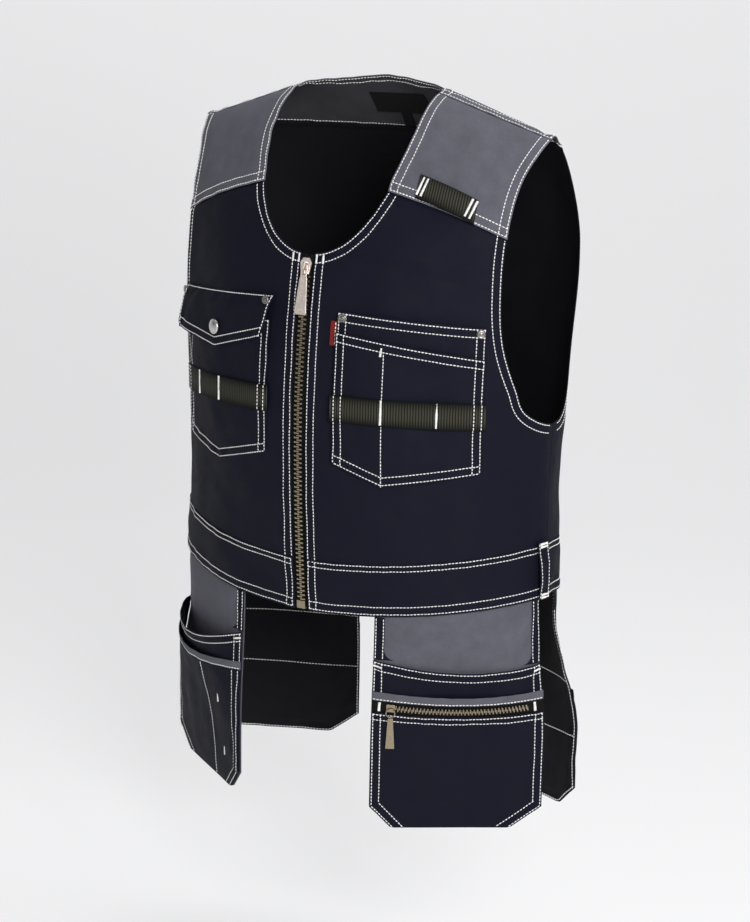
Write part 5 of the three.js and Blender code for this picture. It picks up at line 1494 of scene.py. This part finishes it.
class VEST_OT_trim(bpy.types.Operator):
    """Shoulder webbing, belt loops, neck label and size tab"""

    bl_idname = "vest.trim"
    bl_label = "Small trim"

    def execute(self, context):
        def webbing_place(u, v):
            x = mix(112, 176, u)
            share = (x - NECK_HALF_WIDTH) / (armhole_x(np.float64(FRONT_SEAM_ARM), True) - NECK_HALF_WIDTH)
            height = front_seam(share) + 2 * SEAM_GAP + 25 * v
            return on_shoulder(x, lean_at(x, height, True))

        webbing = Cloth(
            graded(64, 3), graded(25, 3), webbing_place,
            lambda u, v: LAYER_GAP + WEBBING + 0.7 + 3 * np.sin(np.pi * u), WEBBING, fold=0.4,
        )
        for share in (0.05, 0.12, 0.88, 0.95):
            webbing.bar(share, 0.5, 20, turned=True)
        add_cloth("shoulder_webbing", "webbing", webbing)
        cloths = [webbing]
        rear = body(np.linspace(90, 180, 721), 0.0)
        quarter = HALF_GIRTH - np.linalg.norm(np.diff(rear, axis=0), axis=-1).sum()
        foot = hem_height(90)
        for place in PLACES:
            loop = patch(
                lambda u, v: quarter - 11 + 17 * (u - 0.5) + 0 * v, lambda u: foot - 2 + 0 * u,
                lambda u: foot + BAND_HEIGHT + 4 + 0 * u,
                lambda u, height: BAND_PROUD + LAYER_GAP + WEBBING + 0.7
                + 3 * np.sin(np.pi * np.clip((height - foot) / BAND_HEIGHT, 0, 1)),
                graded(17, 2), graded(66, 3), WEBBING,
                seams=seams_on(PLACES, (2.4,), (2, 2), 0),
                mirror=place == "right", fold=0.7,
            )
            for share in (0.04, 0.09, 0.91, 0.96):
                loop.bar(0.5, share, 13)
            add_cloth(f"belt_loop_{place}", "navy_cloth", loop)
            cloths.append(loop)
        thread_object("stitches_trim", cloths)
        top = NAPE - 20
        for node, width, start, tall in (("neck_label", 74, top, 24), ("size_tab", 14, top - 24.3, 16)):

            def inside_place(u, v, width=width, start=start, tall=tall):
                x = mix(-width / 2, width / 2, u)
                return on_shoulder(x, lean_at(x, mix(start, start - tall, v), False))

            label = Cloth(graded(width, 4), graded(tall, 3), inside_place, -CLOTH - 0.9, 0.6, fold=0.6)
            add_cloth(node, "label", label)
        return {"FINISHED"}


class VEST_OT_front_holsters(bpy.types.Operator):
    """Front holsters with their pouches, bindings, bands and the left one's zip"""

    bl_idname = "vest.front_holsters"
    bl_label = "Front holsters"

    def execute(self, context):
        self.place = on_holster(FRONT_HOLSTER_MIDDLE)
        self.holster("left", 8, -3, 3, 3, 1.5)
        self.holster("right", 14, -3, 8, 22, 5)
        return {"FINISHED"}

    def layer(self, low, high, lift, u, v, thick, **others):
        def drop(u, v):
            return mix(low(u), high(u), v)

        def place(u, v):
            return self.place(holster_across(u), drop(u, v))

        return Cloth(u, v, place, lambda u, v: lift(u, drop(u, v)), thick, **others)

    def holster(self, side, dip, inner, outer, upper_swell, lower_swell):
        double = double_rows()
        mirror = side == "right"
        name = f"holster_front_{side}_"
        with_zip = side == "left"

        def swell(u, drop, mouth):
            rise = np.clip((HOLSTER_LENGTH - drop) / (HOLSTER_LENGTH - mouth), 0, 1)
            return np.sin(np.pi * np.clip(u, 0, 1)) ** 0.8 * rise

        def upper_lift(u, drop):
            return LAYER_GAP + PATCH_CLOTH + upper_swell * swell(u, drop, MOUTH_DROP)

        def lower_base(u, drop):
            return upper_lift(u, drop) + lower_swell * swell(u, drop, BINDING_DROP)

        def cover_lift(u, drop):
            under = LAYER_GAP + TAPE_CLOTH if with_zip else 0
            return lower_base(u, drop) + under + LAYER_GAP + PATCH_CLOTH

        def mouth(u):
            return MOUTH_DROP + mix(inner, outer, u) + dip * np.sin(np.pi * u)

        def binding_top(u):
            return BINDING_DROP + BINDING_DIP * np.sin(np.pi * u)

        def binding_foot(u):
            return binding_top(u) + BINDING_HEIGHT

        def pouch_top(u):
            return binding_foot(u) + (ZIP_SLOT if with_zip else SEAM_GAP)

        def hem(u):
            return hem_height(turn_at_girth(FRONT_HOLSTER_MIDDLE + holster_across(u), 0.0))

        width = 2 * HOLSTER_HALF_WIDTH
        wide = graded(width)
        flat = dict(mirror=mirror, fold=0.8, seed=53)
        panel = self.layer(
            corner_drop, lambda u: -HOLSTER_TUCK + 0 * u, lambda u, d: 0 * u, wide, graded(285), CLOTH,
            seams=[Seam("left", (), (0, 0), 0)], **flat,
        )
        add_cloth(name + "panel", "grey_cloth", panel)
        cloths = []
        share = SIDE_BAND_WIDTH / width
        for piece, edge in (("band_inner", "left"), ("band_outer", "right")):

            def band_place(u, v, inner=edge == "left"):
                """A band that widens along a quarter circle above its foot."""
                side = 0 * u if inner else 1 + 0 * u
                foot = mouth(side) - 0.4
                drop = mix(foot, 0.6 - hem(side), v)
                near = np.clip(1 - (foot - drop) / 13, 0, 1)
                wide = share * (1 + 1.05 * (1 - np.sqrt(1 - near**2)))
                return self.place(holster_across(wide * u if inner else 1 - wide * (1 - u)), drop)

            band = Cloth(
                graded(12, 2), graded(58, 2), band_place, LAYER_GAP + PATCH_CLOTH, PATCH_CLOTH,
                [Seam(edge, double, (1, 1), 0)], mirror=mirror, fold=0.8,
            )
            add_cloth(name + piece, "navy_cloth", band)
            cloths.append(band)
        upper = self.layer(
            corner_drop, mouth, upper_lift, wide, graded(190), PATCH_CLOTH,
            seams=[
                *seams_on(PLACES, double, (1, 1)),
                Seam("top", double, (1, 1), 12, [(0.0, 9), (1.0, 9)]),
            ],
            soft=0.3, **flat,
        )
        add_cloth(name + "upper_pouch", "navy_cloth", upper)
        binding = self.layer(
            binding_foot, binding_top, cover_lift, wide, graded(10, 2), PATCH_CLOTH,
            seams=[Seam("bottom", (1.6,), (1, 1), 0)], **flat,
        )
        add_cloth(name + "binding", "grey_cloth", binding)
        rows = (EDGE_ROW, 8.4) if with_zip else ()
        lower = self.layer(
            corner_drop, pouch_top, cover_lift, wide, graded(140), PATCH_CLOTH,
            seams=[
                Seam("left", double, (1, 1), miter=1.4), Seam("right", double, (1, 1), miter=1.15),
                Seam("top", rows, (1, 1), 10 if rows else 0),
            ],
            soft=0.3, **flat,
        )
        foot = lower.edge("bottom")
        run = run_along(foot)
        for part, start, end in ((run < 35.5, 0.4, 0.95), (run > run[-1] - 44, -1.3, -0.3)):
            corner = foot[part]
            along = unit(corner[-1] - corner[0])
            for distance in double:
                first, last = corner[0] + along * start * distance, corner[-1] + along * end * distance
                lower.sew_line(*lower.offset(np.stack([first, last]), distance))
        if not with_zip:
            column = int(np.argmin(np.abs(lower.u_shares - 0.34)))
            lower.sew_line(lower.points[3:-3, column], lower.normal[3:-3, column])
            lower.bar(0.23, 0.74, 10, turned=True)
            lower.bar(0.23, 0.27, 10, turned=True)
        add_cloth(name + "lower_pouch", "navy_cloth", lower)
        cloths += [upper, binding, lower]
        if with_zip:
            cloths.append(self.zip(name, binding_foot, lower_base, flat))
        thread_object("stitches_" + name.rstrip("_"), cloths)

    def zip(self, name, slot_top, base, flat):
        def tape_lift(u, drop):
            return base(u, drop) + LAYER_GAP + TAPE_CLOTH

        tape = self.layer(
            lambda u: slot_top(u) + ZIP_SLOT + 3, lambda u: slot_top(u) - 3, tape_lift,
            graded(198), graded(20, 2), TAPE_CLOTH, **flat,
        )
        for share in (0.05, 0.95):
            tape.bar(share, 0.5, 10, turned=True, width=3.4)
        add_cloth(name + "zip_tape", "zip_tape", tape)
        pitch = SMALL_TOOTH_PITCH
        for piece, sign, shift in (("zip_teeth_upper", -1, 0.0), ("zip_teeth_lower", 1, pitch / 2)):
            count = int((SMALL_ZIP_END - SMALL_ZIP_START - shift - 1.7) / pitch) + 1
            across = SMALL_ZIP_START + shift + np.arange(count) * pitch + 0.85
            share = (across + HOLSTER_HALF_WIDTH) / (2 * HOLSTER_HALF_WIDTH)
            drop = slot_top(share) + ZIP_SLOT / 2 + sign * 3.6
            base_point, normal = self.place(across, drop)
            seat = base_point + normal * (tape_lift(share, drop) + 1.5)[:, None]
            along = unit(np.gradient(seat, axis=0))
            inward = unit(np.cross(normal, along)) * sign
            teeth_object(name + piece, seat, normal, along, inward, SMALL_TOOTH_SIZE)
        bevelled_copy(name + "zip_slider", "old brass", 0.9)
        bevelled_copy(name + "zip_ring", "old brass", 0.1)
        bevelled_copy(name + "zip_pull", "old brass", 0.6)
        return tape


class VEST_OT_back_holsters(bpy.types.Operator):
    """Back holsters, each a panel and a plain pouch"""

    bl_idname = "vest.back_holsters"
    bl_label = "Back holsters"

    def execute(self, context):
        place = on_holster(HALF_GIRTH - BACK_HOLSTER_MIDDLE)
        double = double_rows()
        for side in PLACES:
            mirror = side == "right"
            panel = Cloth(
                graded(198), graded(285),
                lambda u, v: place(holster_across(u), mix(corner_drop(u), -HOLSTER_TUCK, v)), 0.0, CLOTH,
                [*seams_on(PLACES, double, (1, 40), 12), Seam("bottom", (EDGE_ROW,), (1, 1), 12)],
                mirror=mirror, fold=0.8, seed=61,
            )
            pouch = Cloth(
                graded(198), graded(147),
                lambda u, v: place(holster_across(u), mix(corner_drop(u), BACK_MOUTH_DROP, v)),
                lambda u, v: LAYER_GAP + PATCH_CLOTH + 3 * np.sin(np.pi * u) ** 0.8 * v, PATCH_CLOTH,
                seams_on((*PLACES, "top"), double, (1, 1)),
                mirror=mirror, fold=0.8, seed=61, soft=0.3,
            )
            for edge in (*PLACES, "bottom"):
                panel.sew(edge, EDGE_ROW, (1, 1), inside=True)
            for drop in (90.0, 157.0):
                line, facing = panel.offset(place(np.linspace(-96, 96, 190), drop)[0], 0.0)
                panel.sew_line(line - facing * CLOTH, -facing)
            add_cloth(f"holster_back_panel_{side}", "navy_cloth", panel)
            add_cloth(f"holster_back_pouch_{side}", "navy_cloth", pouch)
            thread_object(f"stitches_holster_back_{side}", [panel, pouch])
        return {"FINISHED"}


class VEST_OT_stage(bpy.types.Operator):
    """Floor, backdrop, lights and camera"""

    bl_idname = "vest.stage"
    bl_label = "Stage"

    def execute(self, context):
        scene = context.scene
        scene.view_settings.view_transform = "Standard"
        scene.view_settings.look = "None"
        world = bpy.data.worlds.new("studio")
        world.use_nodes = True
        tree = world.node_tree
        dim = tree.nodes["Background"]
        dim.inputs[0].default_value = (0.87, 0.87, 0.885, 1)
        dim.inputs[1].default_value = 0.14
        seen = add_node(tree, "ShaderNodeBackground", (0.88, 0.88, 0.89, 1))
        camera_ray = add_node(tree, "ShaderNodeLightPath").outputs["Is Camera Ray"]
        blend = add_node(tree, "ShaderNodeMixShader", camera_ray, dim.outputs[0], seen.outputs[0])
        tree.links.new(blend.outputs[0], tree.nodes["World Output"].inputs[0])
        scene.world = world
        self.floor()
        self.lamp("key", (2.1, -1.9, 0.7), (1.2, 1.4), 80)
        self.lamp("fill", (-1.4, -2.6, 0.5), (1.4, 1.4), 5)
        self.lamp("top", (0.3, 0.4, 2.0), (1.6, 1.6), 30)
        self.camera(scene)
        return {"FINISHED"}

    def floor(self):
        """A floor that curves up into a backdrop behind the vest."""
        profile = [(-6.0, FLOOR_HEIGHT), (BACKDROP_START, FLOOR_HEIGHT)]
        for angle in np.radians(np.arange(10, 91, 10)):
            rise = BACKDROP_RADIUS * (1 - math.cos(angle))
            profile.append((BACKDROP_START + BACKDROP_RADIUS * math.sin(angle), FLOOR_HEIGHT + rise))
        profile.append((BACKDROP_START + BACKDROP_RADIUS, 6.0))
        depth, height = np.array(profile).T
        back = np.array([0.513, -0.858])
        side = np.array([0.858, 0.513])
        spread = np.array([-9.0, 9.0])
        x = -depth[:, None] * back[0] + spread * side[0]
        y = -depth[:, None] * back[1] + spread * side[1]
        points = point(x, y, height[:, None]) / MM
        mesh = mesh_from("floor", points, [grid_quads(len(profile), 2)], hang=False)
        paper = new_material(
            "paper", Roughness=0.9, Base_Color=(0.5, 0.5, 0.505, 1), Specular_IOR_Level=0.1,
            Emission_Color=(1, 1, 1.01, 1), Emission_Strength=0.47,
        )[0]
        mesh.materials.append(paper)
        thing = bpy.data.objects.new("floor", mesh)
        bpy.context.scene.collection.objects.link(thing)

    def lamp(self, name, place, size, power):
        lamp = bpy.data.lights.new(name, "AREA")
        lamp.shape = "RECTANGLE"
        lamp.size, lamp.size_y = size
        lamp.energy = power
        thing = bpy.data.objects.new(name, lamp)
        thing.location = place
        aim = Vector((0, 0, -0.4)) - Vector(place)
        thing.rotation_euler = aim.to_track_quat("-Z", "Y").to_euler()
        bpy.context.scene.collection.objects.link(thing)

    def camera(self, scene):
        azimuth, elevation, roll = [math.radians(angle) for angle in CAMERA_ANGLES]
        level = math.cos(elevation)
        back = Vector((math.sin(azimuth) * level, -math.cos(azimuth) * level, math.sin(elevation)))
        right = Vector((math.cos(azimuth), math.sin(azimuth), 0))
        up = back.cross(right)
        tilted = right * math.cos(roll) + up * math.sin(roll)
        upright = back.cross(tilted)
        camera = bpy.data.cameras.new("camera")
        camera.lens = 85.8
        camera.sensor_width = 36
        camera.clip_end = 50
        thing = bpy.data.objects.new("camera", camera)
        turn = Matrix((tilted, upright, back)).transposed().to_4x4()
        thing.matrix_world = Matrix.Translation(Vector(CAMERA_AIM) + back * CAMERA_DISTANCE) @ turn
        scene.collection.objects.link(thing)
        scene.camera = thing


class VEST_PT_panel(bpy.types.Panel):
    """Lists the vest's pieces and its settings"""

    bl_idname = "VEST_PT_panel"
    bl_label = "Work Vest"
    bl_space_type = "VIEW_3D"
    bl_region_type = "UI"
    bl_category = "Work Vest"

    def draw(self, context):
        for step in STEPS:
            self.layout.operator(step.bl_idname)
        for name in VestSettings.__annotations__:
            self.layout.prop(context.scene.work_vest, name)


STEPS = (
    VEST_OT_body,
    VEST_OT_main_zip,
    VEST_OT_chest_pockets,
    VEST_OT_trim,
    VEST_OT_front_holsters,
    VEST_OT_back_holsters,
    VEST_OT_stage,
)
CLASSES = (VestSettings, *STEPS, VEST_PT_panel)


def register():
    for kind in CLASSES:
        bpy.utils.register_class(kind)
    bpy.types.Scene.work_vest = PointerProperty(type=VestSettings)


def unregister():
    del bpy.types.Scene.work_vest
    for kind in reversed(CLASSES):
        bpy.utils.unregister_class(kind)


def main():
    register()
    for step in STEPS:
        area, name = step.bl_idname.split(".")
        getattr(getattr(bpy.ops, area), name)()


if __name__ == "__main__":
    main()
